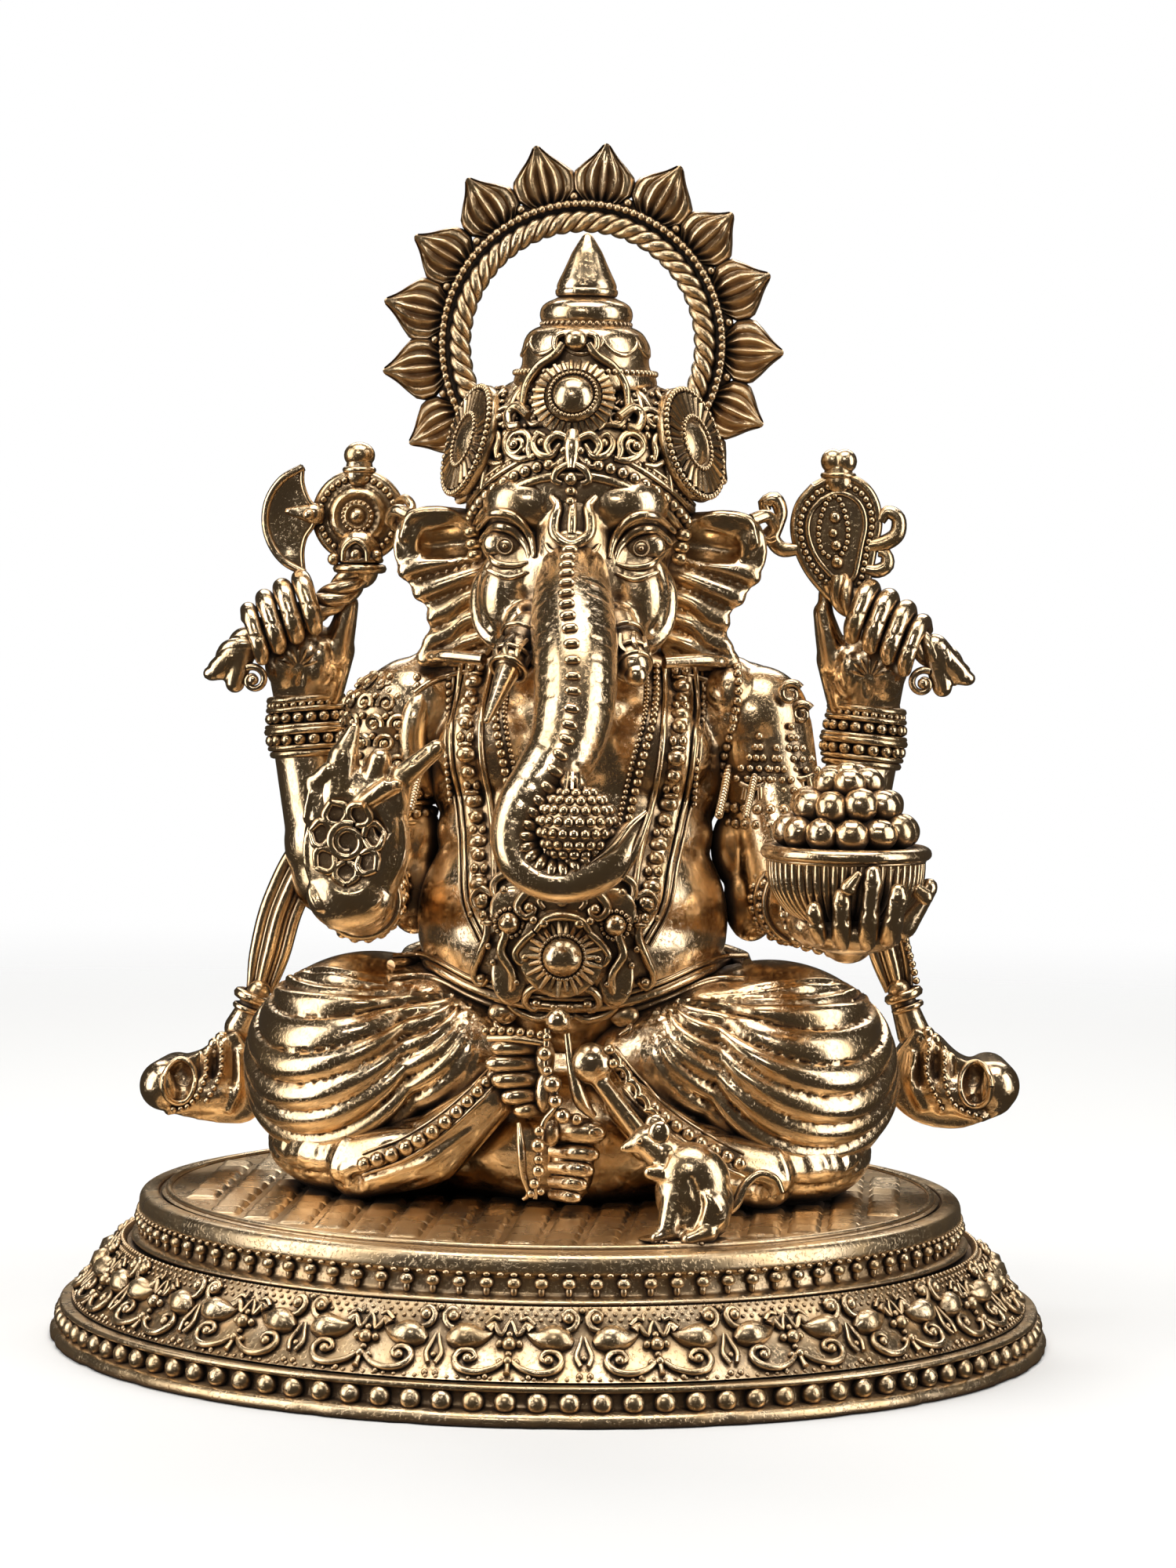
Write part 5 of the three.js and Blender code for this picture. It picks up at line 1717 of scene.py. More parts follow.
def noose_head():
    outline = [(29.4, 109.2), (27.6, 107), (26.9, 104.2), (27.4, 101.2), (28.7, 98.4), (30.6, 96),
               (32.6, 94.2), (34.6, 93.6), (35.9, 94.8), (36.6, 97.6), (37.2, 101), (37.8, 104.4),
               (37.3, 107.4), (35.6, 109.6), (32.5, 110.6)]
    middle = Vector((32.4, 0, 103.6))

    def inset(share, y, thick):
        rows = [(middle.x + (x - middle.x) * share, y, middle.z + (z - middle.z) * share, thick)
                for x, z in outline]
        return rows + rows[:1]

    bm = slab([(x, z) for x, z in outline], 9, 2)
    clay = Clay(bm, 0.3, 3)
    bm = clay.cast()
    wire(bm, inset(0.98, 9.4, 0.62))
    wire(bm, inset(0.98, 10.8, 0.62))
    bead_run(bm, inset(0.84, 8.9, 0.44), 1.06)
    wire(bm, inset(0.68, 8.8, 0.36))
    inner = [(middle.x - 0.4 + 2.3 * sin(a) * (0.6 + 0.4 * cos(a / 2) ** 2), 8.8,
              middle.z + 0.4 - 4.0 * cos(a), 0.4) for a in np.linspace(0.2, tau - 0.2, 15)]
    bead_run(bm, inner, 1.02)
    for x, z, r in ((32.2, 105.2, 0.8), (32, 103.2, 0.65), (32.4, 101.6, 0.75), (32.6, 99.4, 0.85),
                    (33.2, 97.4, 0.6)):
        lump(bm, (x, 8.7, z), r, rings=2)
    limb(bm, (32.5, 10, 109.8), (32.5, 10, 111.2), 2, 1.8)
    ring_on(bm, (32.5, 10, 110.4), (32.5, 10, 111.4), 0.2, 1.95, 0.38)
    for dx in (-0.75, 0.85):
        lump(bm, (32.5 + dx, 9.7, 112.4), (1.55, 1.6, 1.6))
    for rows in ([(36.6, 101.6, 0.9), (38.6, 102, 1.05), (40.2, 103.2, 1.05), (40.3, 105.2, 0.95),
                  (38.9, 106, 0.85), (38, 104.8, 0.7)], [(36.2, 98.6, 0.8), (37.8, 98.4, 0.95),
            (39, 99.2, 0.95), (38.8, 100.6, 0.8), (37.8, 100.8, 0.6)], [(27.4, 101, 0.8), (25.4, 101, 1),
            (24.2, 102.4, 1), (24.8, 104.2, 0.9), (25.2, 105.8, 0.9), (24.4, 107.4, 1), (23, 106.8, 0.85),
            (23.4, 105.8, 0.7)]):
        wire(bm, [(x, 9.4, z, r) for x, z, r in rows])
    wire(bm, [(24.3, 9, 102.3, 0.6), (23.4, 7, 102, 0.6), (22.4, 4.8, 102.6, 0.55)])
    finish("noose_head", bm, CHASED)


FRONT = {"right": {"shoulder": (-23.4, 4, 77.5), "elbow": (-26.6, -1, 57.5), "wrist": (-25, -20, 56.6)},
         "left": {"shoulder": (23.4, 4, 77.5), "elbow": (27.6, -2.5, 57), "wrist": (35, -23, 56.4)}}


def front_arm(name, side):
    joints = FRONT[name]
    shoulder, elbow, wrist = (joints[k] for k in ("shoulder", "elbow", "wrist"))
    arm_part(f"{name}_front_upper_arm", shoulder, elbow, 6.6, 5.6, [((side * 23, 3.5, 79), (6.4, 7, 6)),
            ((side * 20.6, 1, 63), (3.4, 4, 5.4)),
                                                                          (((-20.6 if side < 0 else 22.6),
                                                                            0, 56.5), (3.6, 4, 5.6))])
    bm = bmesh.new()
    limb(bm, elbow, wrist, 5.3, 4.3)
    a, b = Vector(elbow), Vector(wrist)
    bracelets = bmesh.new()
    spans = (0.62, 0.9) if side < 0 else (0.55, 0.85)
    for share in np.linspace(*spans, 4):
        radius = 5.3 + (4.3 - 5.3) * share
        ring_on(bracelets, a, b, share, radius + 0.1, 0.6)
    for share in (spans[0] + 0.05, spans[1] - 0.05):
        beads_on(bracelets, a, b, share, 5.3 - share + 0.35, 0.8)
    clay = Clay(bm, 0.45, 3)
    clay.into(bracelets)
    for share in (0.06, 0.2):
        beads_on(bracelets, a, b, share, 5.55 - share, 0.7)
        ring_on(bracelets, a, b, share + 0.06, 5.4 - share, 0.4)
    finish(f"{name}_front_forearm", bracelets, GOLD)


def right_armlet():
    """A scrolled guard over the bare shoulder."""
    bm = bmesh.new()
    axis = (-23.4, 4)
    core = bmesh.new()
    lump(core, (-23.4, 3.6, 78.4), (6.9, 7.1, 6.4), rings=4)
    limb(core, (-23.6, 3.6, 76), (-25.2, 1.6, 66), 6.9, 6.1)
    guard = Clay(core, 0.4, 3)
    cover = guard.skin()
    guard.into(bm)
    for ring in range(6):
        z = 83.2 - 2.55 * ring
        for k in range(10):
            angle = -118 + 25 * k + 12 * (ring % 2)
            if angle > 78:
                continue
            hand = 1 if (k + ring) % 2 else -1
            rows = [(hand * u, v, r) for u, v, r in curl((0, 0), 1.15, 200, 1.2, -1, 0.36, 0.3)]
            run = flow([(u, 0, v, r) for u, v, r in rows], 0.4)
            wires(bm, [np.array([(*around(cover, angle + u * 8, z + v, 0.35, axis), r)
                                 for u, _, v, r in run])], 1)
            beads(bm, [(*around(cover, angle, z, 0.45, axis), 0.5),
                       (*around(cover, angle + 12, z + 0.9, 0.3, axis), 0.5)])
    for z, size in ((69.2, 0.75), (66.6, 0.75)):
        count = 26
        beads(bm, [(*around(cover, -180 + 360 * i / count, z, 0.3, (-24.6, 2.6)), size)
                   for i in range(count)])
    for z in (70.3, 68, 65.4):
        rows = [(*around(cover, angle, z, 0.2, (-24.6, 2.6)), 0.4) for angle in range(-180, 181, 12)]
        wires(bm, [np.array(rows)], 2)
    strap = [(-18, 85.6, 0.4), (-19.2, 83.4, 1.3), (-20.2, 80.4, 1.7), (-20.8, 76.4, 1.9),
             (-20.2, 72.6, 1.7), (-18.8, 69.6, 1.2)]
    run = laid(strap, [cover], 0.1, -4)
    wires(bm, [run], 5)
    finish("right_armlet", bm, CHASED)


def left_armlet():
    """The shawl's folds over the left shoulder, hung with beaded tassels."""
    core = bmesh.new()
    lump(core, (22.6, 3.2, 79.2), (7, 7.2, 7), rings=4)
    limb(core, (23, 3.4, 77), (25.6, 1, 66), 7, 6)
    lump(core, (19.4, 0.6, 82.6), (3.6, 5, 4.2), rings=4)
    clay = Clay(core, 0.38, 3)
    for k in range(7):
        top = (17.6 + 1.6 * k, -5, 86.2 - 0.4 * k - 0.09 * k * k)
        low = (17.0 + 1.15 * k, -5, 70.6 - 0.6 * k)
        mid = (18.6 + 1.55 * k, -6, 78.6 - 0.4 * k)
        clay.stroke([(*top, 0.9), (*mid, 1.1), (*low, 0.9)], 0.75)
        clay.stroke([(top[0] + 0.8, -5, top[2], 0.55), (mid[0] + 0.85, -6, mid[2], 0.7),
                     (low[0] + 0.6, -5, low[2], 0.55)], -0.6)
    cover = clay.skin()
    bm = clay.cast()
    bead_run(bm, laid([(20.4, 86, 0.6), (20.7, 83.2, 0.6), (20.3, 80.2, 0.6), (19.4, 76.6, 0.6),
                       (18.6, 72.6, 0.6), (18.4, 68.6, 0.6)], [cover], 0.6, -4), 1.05)
    for x, z, lean in ((23.4, 77.4, -0.5), (25.6, 76, 0.2), (27.4, 78.6, 0.9)):
        place = front(x, z, [cover], -4)
        for row in range(5):
            drop = 1.35 * row
            wide = 0.5 + 0.36 * row
            count = min(1 + row, 4)
            for i in range(count):
                u = (i - (count - 1) / 2) * wide * 0.72
                lump(bm, (x + lean * row * 0.35 + u, place.y - 0.7, z - drop), (0.52, 0.5, 0.52), rings=2)
        wire(bm, [(x + lean * 1.4 - 1.6, place.y - 0.5, z - 6, 0.4),
                  (x + lean * 1.5, place.y - 0.9, z - 6.6, 0.45),
                  (x + lean * 1.6 + 1.5, place.y - 0.4, z - 6, 0.4)])
        for u in (-0.9, 0, 0.9):
            wire(bm, [(x + lean * 1.5 + u, place.y - 0.8, z - 6.4, 0.4),
                      (x + lean * 1.7 + u * 1.2, place.y - 0.7, z - 8, 0.42)], 2)
    for centre, size in (((27.2, -0.6, 82.8), 1.5), ((28.6, 1.2, 80.2), 1.4)):
        wire(bm, [(centre[0] + u, centre[1] - 2.4, centre[2] + v, r)
                  for u, v, r in curl((0, 0), size, 30, 1.2, 1, 0.55, 0.25)])
    for z, size in ((68.2, 0.75), (66.2, 0.75)):
        count = 26
        beads(bm, [(*around(cover, -180 + 360 * i / count, z, 0.3, (25, 2)), size) for i in range(count)])
    finish("left_armlet", bm, GOLD)


def right_front_hand():
    """The open palm with its raised rim and a plain spiral flower on it."""
    bm = bmesh.new()
    lump(bm, (-25, -25.4, 64.2), (6.6, 3, 9.6), (0, 3, 0), rings=4)
    lump(bm, (-25.6, -24.6, 58), (5.6, 4, 4.8), rings=4)
    limb(bm, (-29.4, -25.6, 67.5), (-30.2, -25.8, 71.6), 2.1, 1.35)
    limb(bm, (-30.2, -25.8, 71.4), (-28.4, -26.6, 73.2), 1.3, 1.1)
    limb(bm, (-27.4, -25.4, 69.4), (-26.7, -25.6, 74.8), 2.5, 1.95)
    limb(bm, (-26.7, -25.6, 74.8), (-25.5, -25.4, 78.4), 1.9, 0.75)
    limb(bm, (-23.6, -25.4, 69.6), (-22.2, -25.8, 74.6), 2, 1.5)
    limb(bm, (-24.6, -27.4, 68.9), (-20.9, -28, 71.6), 0.95, 1.15)
    limb(bm, (-20.6, -25.2, 68.5), (-19.4, -26, 72.8), 2, 1.5)
    limb(bm, (-19.4, -26, 72.6), (-15.2, -26, 76.2), 1.55, 1.1)
    clay = Clay(bm, 0.28, 2)
    clay.stroke([(-26.4, -28.4, 68, 2.6), (-25.8, -28.6, 64.6, 4.4), (-25.6, -28.6, 61.4, 3.2)], -1.3, 0.6)
    clay.stroke([(-22.6, -28.6, 68.2, 1.2), (-21.6, -28.4, 66, 1.4)], -1.6)
    clay.stroke([(-24.5, -28.2, 75.8, 0.6), (-24.3, -28.4, 72.6, 0.8), (-24.6, -28.4, 70.8, 0.6)], -1.6)
    clay.stroke([(-28.8, -28, 74.6, 0.5), (-28.8, -28.4, 71, 0.8)], -1)
    clay.stroke([(-21.2, -28, 74.6, 0.5), (-20.8, -28.4, 72.2, 0.7)], -1.2)
    rim = [(-30.9, -27.6, 70.4, 0.8), (-31.5, -27, 66.4, 0.9), (-31.2, -26.8, 60.4, 0.9),
           (-29.2, -27.4, 56.4, 0.8)]
    clay.stroke(rim, 0.9, 0.8)
    rim = [(-19.6, -28, 71.8, 0.8), (-18.9, -27.2, 68.4, 0.9), (-18.7, -27, 64, 0.9),
           (-20, -27.6, 59.4, 0.9), (-22.4, -28.2, 56.8, 0.7)]
    clay.stroke(rim, 0.9, 0.8)
    clay.stroke([(-30.4, -27, 55.8, 0.7), (-26.6, -28.4, 54.2, 0.8), (-22, -28, 55, 0.7)], -0.6)
    clay.stroke([(-26.9, -27.8, 76.6, 0.5), (-27.2, -28, 73.4, 0.7), (-27.2, -28, 70.8, 0.6)], -0.35)
    clay.stroke([(-18, -27.4, 74.6, 0.5), (-16.4, -27, 75.9, 0.5)], -0.35)
    skin = clay.skin()
    bm = clay.cast()
    eye = (-25.9, 64.6)
    runs = [laid(curl(eye, 2.3, 70, 1.6, 1, 0.62, 0.5), [skin], 0.6, -27)]
    for k in range(7):
        turn = radians(12 + 360 * k / 7)
        for lean in (-1, 1):
            rows = [(eye[0] + reach * cos(turn + lean * bend), eye[1] + reach * sin(turn + lean * bend)
                     * 1.12, r) for reach, bend, r in ((2.2, 0.1, 0.4), (3, 0.42, 0.5), (4, 0.34, 0.5),
                    (4.7, 0, 0.4))]
            runs.append(laid(rows, [skin], 0.6, -27))
    wires(bm, runs, 2)
    finish("right_front_hand", bm, GOLD)


BOWL = Vector((35, -30, 0))


def sweets_bowl():
    outline = [(0, 55.6), (2.4, 55.6), (4.8, 56.2), (7.4, 58.2), (8.9, 60.6), (9.3, 63.2), (9.5, 63.9),
               (10.1, 64.1), (10.4, 64.6), (10.2, 65.3), (9.4, 65.7), (8.6, 65.5), (8.4, 65.2), (0, 65.2)]
    bm = spun(round_profile(outline, 0.25, 1), 96)
    runs = []
    for i in range(52):
        angle = tau * i / 52
        rows = [(reach * cos(angle), reach * sin(angle), z, r)
                for reach, z, r in ((3.8, 56, 0.2), (6.4, 57.4, 0.42), (8.4, 59.8, 0.52), (9.05, 62, 0.52),
                (9.2, 63.9, 0.42))]
        runs.append(flow(rows, 0.7))
    wires(bm, runs, 2)
    rows = hoop(9.45, 63.9, 0.28, 73)
    wires(bm, [np.array(rows)], 2)
    bmesh.ops.translate(bm, vec=BOWL, verts=bm.verts)
    finish("sweets_bowl", bm, GOLD)


def sweets_heap():
    bm = bmesh.new()
    lump(bm, BOWL + Vector((0, 0, 66.5)), (6.6, 6.6, 4.2))
    stack = [(12, 6.9, 67.3, 2, 0.2), (9, 4.9, 70.5, 2, 0.5), (5, 2.5, 73.2, 1.9, 0.1), (1, 0, 74, 1.8, 0)]
    sweet = bmesh.new()
    bmesh.ops.create_icosphere(sweet, subdivisions=4, radius=1)
    for v in sweet.verts:
        turn = atan2(v.co.y, v.co.x)
        v.co *= 1 + 0.025 * sin(9 * turn) * (1 - abs(v.co.z)) - 0.05 * max(0, v.co.z - 0.8)
    shape = as_mesh(sweet)
    for count, reach, z, size, start in stack:
        for i in range(count):
            angle = tau * (i + start) / count
            wobble = 0.22 * sin(5.1 * i + z)
            place = BOWL + Vector((reach * sin(angle), -reach * cos(angle), z + wobble))
            stamp(bm, shape, [spot(place, (size * 1.06, size * 1.06, size * 0.96),
                    (7 * wobble * 40, 5 * i, 31 * i))])
    finish("sweets_heap", bm, GOLD)


def left_front_hand():
    bm = bmesh.new()
    limb(bm, (34.6, -24, 56), (35.4, -30, 54.8), 4.2, 3.6)
    lump(bm, (36, -33.6, 54.9), (6, 4.6, 2.2), (-8, 0, 0), rings=4)
    lump(bm, (31, -29, 55.6), (3.2, 4.6, 2.4), (0, 20, 0), rings=4)
    limb(bm, (42, -29, 56), (45, -28.6, 60.6), 1.8, 1.2)
    clay = Clay(bm, 0.4, 4)
    bm = clay.cast()
    for x, low, high, r in ((31.8, 55.6, 58.6, 1.05), (34.75, 55.1, 60.2, 1.15), (38, 55.2, 63, 1.2),
            (40.8, 55.8, 60.8, 1.2)):
        finger = bmesh.new()
        lean = (x - 35) * 0.1
        tall = high - low
        run = [(x - lean * 2, -33.4, low - 0.6, r * 1.1), (x - lean, -36.4, low - 0.5, r * 1.12),
               (x, -38.2, low + tall * 0.22, r * 1.1),
               (x + lean * 0.5, -38.9, low + tall * 0.55, r * 0.95),
               (x + lean, -39.2, low + tall * 0.85, r * 1.02), (x + lean, -39.2, high, r * 0.86),
               (x + lean, -39.1, high + r * 0.6, r * 0.4)]
        wires(finger, [flow(run, 0.3)], 6)
        lump(finger, (x + lean, -39.15, high), r * 0.86)
        clay = Clay(finger, 0.26, 2)
        nail = high - 0.2
        clay.stroke([(x + lean - 0.7, -40.2, nail - 0.9, 0.35), (x + lean, -40.3, nail - 1.2, 0.4),
                     (x + lean + 0.7, -40.2, nail - 0.9, 0.35)], -0.25)
        clay.stroke([(x - 1.2, -39.4, low + tall * 0.4, 0.45), (x + 1.2, -39.4, low + tall * 0.4, 0.45)],
                    -0.22)
        clay.into(bm)
    limb(bm, (43.6, -33.4, 60.6), (44.6, -33.2, 59.8), 0.8, 1)
    limb(bm, (35.5, -39.9, 61.2), (36.6, -40.1, 62.8), 1, 0.5)
    finish("left_front_hand", bm, GOLD)


def ribbon(bm, points, folds, width):
    """A fluted strap along a run: round folds side by side."""
    run = flow(points, 0.5)
    _, across = across_run(run)
    for k in range(folds):
        off = (k - (folds - 1) / 2) / max(1, folds - 1) * 2
        rows = run.copy()
        rows[:, :3] += across * (off * width) * run[:, 3:] + np.array((0, 0.5 * (k % 2) + 0.8 * off * off, 0))
        rows[:, 3] = run[:, 3] * width * 1.35 / max(1, folds - 1) * (1.25 if k % 2 == 0 else 0.8)
        wires(bm, [rows], 4)


def scarf(name, side):
    if side < 0:
        strap = [(-30.5, 12, 63, 1), (-35.6, 12, 60.4, 1.05), (-39.2, 12, 53.6, 1.05), (-41, 12, 47, 1),
                 (-42.2, 12, 42, 0.7)]
        knot, neck = (-43, 11.6, 41.2), (-44.6, 12, 37)
        outline = [(-44.6, 37), (-48, 35.4), (-50.2, 33.8), (-52.8, 32.8), (-54.6, 30.4), (-55.2, 28.2),
                   (-54.4, 26.4), (-51, 25.4), (-46.5, 24.8), (-42.4, 25.4), (-40.6, 30)]
        mouth = Vector((-51.9, 12, 30.3))
        lines = [[(-46.4, 35.2), (-46.6, 31.4), (-48.4, 27.6)],
                 [(-48.4, 34), (-48.6, 30.6), (-50.6, 27.2), (-53.4, 26.6)],
                 [(-44.2, 34.2), (-44.2, 30), (-45.4, 26.8)]]
    else:
        strap = [(32, 12, 62, 1), (36.2, 12, 58.6, 1.05), (39, 12, 53, 1.05), (40.6, 12, 48, 1),
                 (41.6, 12, 44, 0.7)]
        knot, neck = (42.2, 11.6, 43.4), (43.6, 12, 38.4)
        outline = [(43.6, 39.4), (46.7, 38.2), (48.6, 36.4), (50.6, 35.2), (53.6, 35.2), (55.6, 33.2),
                   (56.6, 31), (56, 29), (52.6, 27.4), (48.9, 26.4), (44.2, 27.2), (40.8, 30), (40.2, 34)]
        mouth = Vector((51.7, 12, 32.4))
        lines = [[(45.6, 37.4), (45.4, 33.6), (47.4, 29.2)],
                 [(47.6, 36), (47.8, 32.6), (49.2, 29.6), (52.6, 28.2)],
                 [(43.6, 36), (43.4, 32.6), (45, 29.4)]]
    bm = slab(outline, 8.6, 7)
    core = Vector((sum(x for x, _ in outline) / len(outline), 12, sum(z for _, z in outline) / len(outline)))
    lump(bm, core + Vector((0, -1.6, -1.6)), (6.6, 3.4, 3.2), rings=4)
    limb(bm, core + Vector((side * 5, -2.8, -0.4)), core + Vector((side * 4.2, 3, 0.4)), 3.4, 3)
    clay = Clay(bm, 0.36, 6)
    clay.stroke([(mouth.x - 0.2, 8, mouth.z + 1.3, 1.8), (mouth.x, 8, mouth.z, 2.2),
                 (mouth.x + 0.1, 8, mouth.z - 1.3, 1.8)], -2, 0.8)
    for rows in lines:
        points = [(x, 8.4, z, 0.95) for x, z in rows]
        clay.stroke(points, 0.8, 0.8)
        clay.stroke([(x + 1.1 * side, y, z, r * 0.6) for x, y, z, r in points], -0.35)
    skin = clay.skin()
    bm = clay.cast()
    ring_rows = [(mouth.x + 2.0 * cos(t), mouth.z + 2.8 * sin(t), 0.42) for t in np.linspace(0, tau, 17)]
    wires(bm, [laid(ring_rows, [skin], 0.2, 8)], 2)
    for k in range(6):
        z = mouth.z - 2.1 + 0.85 * k
        wire(bm, [(mouth.x + side * 0.5, 10.4, z, 0.32), (mouth.x + side * 1.5, 9, z, 0.4),
                  (mouth.x + side * 1.9, 8, z + 0.1, 0.3)])
    for rows in lines[:2]:
        bead_run(bm, laid([(x, z, 0.42) for x, z in rows], [skin], 0.7, 8), 1.15)
    for dx, dz in ((0, 0), (1.2, 0.5), (0.3, 1.3), (1.3, -0.7), (-0.7, 0.6)):
        spot_x, spot_z = outline[1][0] + side * (dx - 1.6), outline[1][1] + dz - 0.8
        lump(bm, (spot_x, 9.4, spot_z), 0.95, rings=2)
    ribbon(bm, strap, 5, 1.9)
    limb(bm, strap[-1][:3], neck, 1.5, 2.2)
    ring_on(bm, knot, Vector(knot) + Vector((side * 0.5, 0, -1.4)), 0, 1.9, 0.72)
    ring_on(bm, knot, Vector(knot) + Vector((side * 0.5, 0, -1.4)), 1.1, 1.75, 0.45)
    if side > 0:
        bead_run(bm, [(x + 2.5, y - 0.4, z, 0.5) for x, y, z, _ in strap[1:]], 1.1)
    finish(f"{name}_scarf", bm, GOLD)


# ---------------------------------------------------------------- mouse

def mouse():
    bm = bmesh.new()
    lump(bm, (17.6, -40, 26.4), (4.6, 3.6, 4), (0, 22, 0), rings=4)
    lump(bm, (19.2, -40.2, 23.4), (3.4, 3.6, 4), rings=4)
    limb(bm, (14.8, -39.6, 28.4), (12.2, -39.4, 30.4), 2.5, 2)
    limb(bm, (11.8, -39.6, 30.4), (9.7, -39.8, 29.6), 1.75, 0.7)
    lump(bm, (17.4, -40.2, 24.4), (4.3, 3.4, 5))
    lump(bm, (18.4, -40.2, 21.2), (3.8, 3.4, 2.6))
    lump(bm, (19.9, -42.4, 22.6), (2.3, 1.7, 2.9))
    limb(bm, (15.6, -41.6, 23.6), (15, -42.6, 20.6), 1.7, 1.4)
    limb(bm, (15.2, -42.6, 19.9), (13.6, -43.2, 19.3), 1.3, 0.9)
    limb(bm, (19.6, -43, 20.2), (17.4, -43.8, 19.3), 1.4, 0.95)
    limb(bm, (14.6, -41, 26.6), (12.6, -42.2, 27), 1.3, 0.8)
    clay = Clay(bm, 0.26, 3)
    clay.stroke([(17.6, -43.8, 26.4, 0.9), (18.6, -43.8, 23.4, 1), (17.8, -43.8, 20.8, 0.7)], -0.6)
    clay.stroke([(14.4, -42, 27.6, 0.6), (14.9, -42, 30.4, 0.6)], -0.4)
    clay.stroke([(11.6, -41.4, 29.6, 0.4), (9.8, -40.8, 29.2, 0.3)], -0.2)
    clay.stroke([(19.6, -43.8, 24.6, 1), (20.8, -43.6, 23, 1)], 0.35)
    bm = clay.cast()
    lump(bm, (13.6, -41, 31.6), (1.35, 0.75, 1.5), (0, 15, 0))
    lump(bm, (13, -38, 32.2), (1.3, 0.7, 1.3))
    lump(bm, (11.3, -41.3, 30.6), (0.42, 0.35, 0.42), rings=2)
    lump(bm, (9.3, -39.9, 29.5), 0.42, rings=2)
    wire(bm, [(20.6, -38.6, 21.4, 0.7), (22.6, -38.4, 22.8, 0.65), (23.8, -38.2, 25.2, 0.6),
              (25.6, -38, 26.6, 0.55), (27.4, -38, 26, 0.5), (28.2, -38, 24.4, 0.4)])
    for dx in (-0.55, 0.05, 0.6):
        lump(bm, (14.2 + dx, -43.5, 18.95), (0.35, 0.55, 0.32), rings=2)
        lump(bm, (18.4 + dx, -43.9, 18.95), (0.35, 0.55, 0.32), rings=2)
    lump(bm, (16.8, -41, 18.9), (5.6, 3.2, 0.5))
    finish("mouse", bm, GOLD)


for arm_side, arm_name in ((-1, "right"), (1, "left")):
    rear_arm(arm_name, arm_side)
    rear_hand(arm_name, arm_side)
handle("axe_handle", -1)
handle("noose_handle", 1)
axe_head()
axe_blade()
noose_head()
front_arm("right", -1)
right_armlet()
front_arm("left", 1)
left_armlet()
right_front_hand()
sweets_bowl()
sweets_heap()
left_front_hand()
scarf("right", -1)
scarf("left", 1)
mouse()


# ---------------------------------------------------------------- studio

def plain(name, colour, rough):
    material = bpy.data.materials.new(name)
    material.use_nodes = True
    shader = material.node_tree.nodes["Principled BSDF"]
    shader.inputs["Base Color"].default_value = (*colour, 1)
    shader.inputs["Roughness"].default_value = rough
    return material


def backdrop():
    """A round pale floor whose rim fades away into the white room, open to view from every side."""
    floor_reach, fade_from, fade_to = 1.2, 0.22, 0.62
    bm = bmesh.new()
    bmesh.ops.create_circle(bm, cap_ends=True, segments=96, radius=floor_reach)
    mesh = bpy.data.meshes.new("studio_floor")
    bm.to_mesh(mesh)
    bm.free()
    paper = plain("pale_paper", (0.86, 0.86, 0.85), 0.8)
    tree = paper.node_tree
    place = tree.nodes.new("ShaderNodeTexCoord")
    away = tree.nodes.new("ShaderNodeVectorMath")
    away.operation = "LENGTH"
    fade = tree.nodes.new("ShaderNodeMapRange")
    fade.interpolation_type = "SMOOTHSTEP"
    fade.inputs["From Min"].default_value = fade_from
    fade.inputs["From Max"].default_value = fade_to
    fade.inputs["To Min"].default_value = 1.0
    fade.inputs["To Max"].default_value = 0.0
    tree.links.new(place.outputs["Object"], away.inputs[0])
    tree.links.new(away.outputs["Value"], fade.inputs["Value"])
    tree.links.new(fade.outputs["Result"], tree.nodes["Principled BSDF"].inputs["Alpha"])
    mesh.materials.append(paper)
    floor = bpy.data.objects.new("studio_floor", mesh)
    bpy.context.scene.collection.objects.link(floor)
    floor.visible_glossy = False


def soft_light(name, place, aim, size, power, colour=(1, 1, 1)):
    lamp = bpy.data.lights.new(name, "AREA")
    lamp.shape = "RECTANGLE"
    lamp.size, lamp.size_y = size
    lamp.energy = power
    lamp.color = colour
    holder = bpy.data.objects.new(name, lamp)
    holder.location = place
    holder.rotation_euler = (Vector(aim) - Vector(place)).to_track_quat("-Z", "Y").to_euler()
    bpy.context.scene.collection.objects.link(holder)


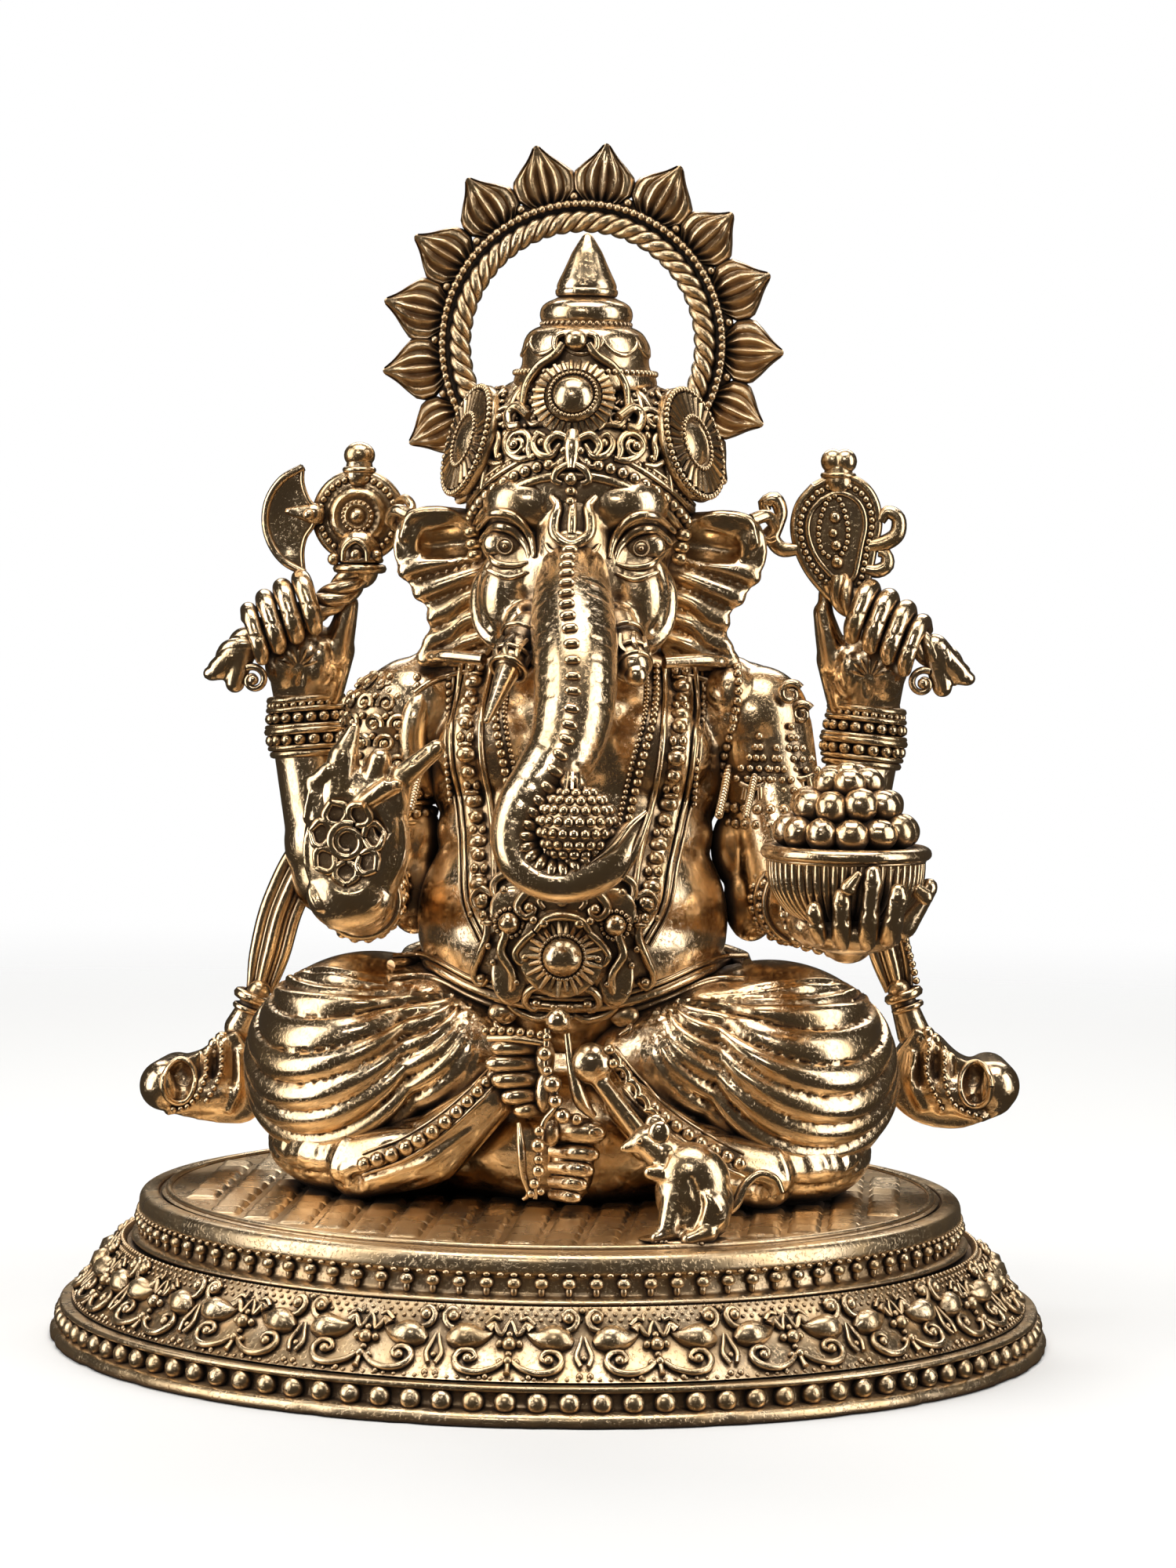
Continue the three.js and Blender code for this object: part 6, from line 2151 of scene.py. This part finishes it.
def lights():
    """Large soft boxes at the sides and above, a dark room in front and a narrow strip over the lens."""
    middle = (0, 0, 0.075)
    soft_light("left_box", (-0.62, -0.26, 0.26), middle, (0.46, 0.84), 3.7)
    soft_light("right_box", (0.64, -0.20, 0.24), middle, (0.38, 0.84), 3.05)
    soft_light("top_box", (0.0, -0.10, 0.74), middle, (0.66, 0.46), 3.7)
    soft_light("front_strip", (-0.10, -0.80, 0.50), middle, (0.30, 0.10), 0.9)
    soft_light("back_box", (0.0, 0.5, 0.55), middle, (0.7, 0.3), 2.5)
    world = bpy.data.worlds.new("studio")
    bpy.context.scene.world = world
    world.use_nodes = True
    tree = world.node_tree
    ground = tree.nodes["Background"]
    ground.inputs["Color"].default_value = (0.050, 0.042, 0.033, 1)
    ground.inputs["Strength"].default_value = 1.0
    seen = tree.nodes.new("ShaderNodeBackground")
    seen.inputs["Color"].default_value = (1, 1, 1, 1)
    seen.inputs["Strength"].default_value = 1.0
    choose = tree.nodes.new("ShaderNodeMixShader")
    tree.links.new(tree.nodes.new("ShaderNodeLightPath").outputs["Is Camera Ray"], choose.inputs[0])
    tree.links.new(ground.outputs[0], choose.inputs[1])
    tree.links.new(seen.outputs[0], choose.inputs[2])
    tree.links.new(choose.outputs[0], tree.nodes["World Output"].inputs["Surface"])
    bpy.context.scene.view_settings.view_transform = "Standard"


def camera():
    azimuth, away, high, roll = radians(4.5), 0.580, 0.103, radians(0.9)
    place = Vector((away * sin(azimuth), -away * cos(azimuth), high))
    ahead = (Vector((0.004, 0, 0.0707)) - place).normalized()
    right = ahead.cross(Vector((0, 0, 1))).normalized()
    up = right.cross(ahead)
    side = cos(roll) * right + sin(roll) * up
    top = -sin(roll) * right + cos(roll) * up
    lens = bpy.data.cameras.new("studio_camera")
    lens.sensor_fit = "VERTICAL"
    lens.sensor_height = 36
    lens.lens = 104.4
    lens.clip_start = 0.01
    holder = bpy.data.objects.new("studio_camera", lens)
    holder.matrix_world = Matrix.Translation(place) @ Matrix((side, top, -ahead)).transposed().to_4x4()
    bpy.context.scene.collection.objects.link(holder)
    bpy.context.scene.camera = holder


backdrop()
lights()
camera()
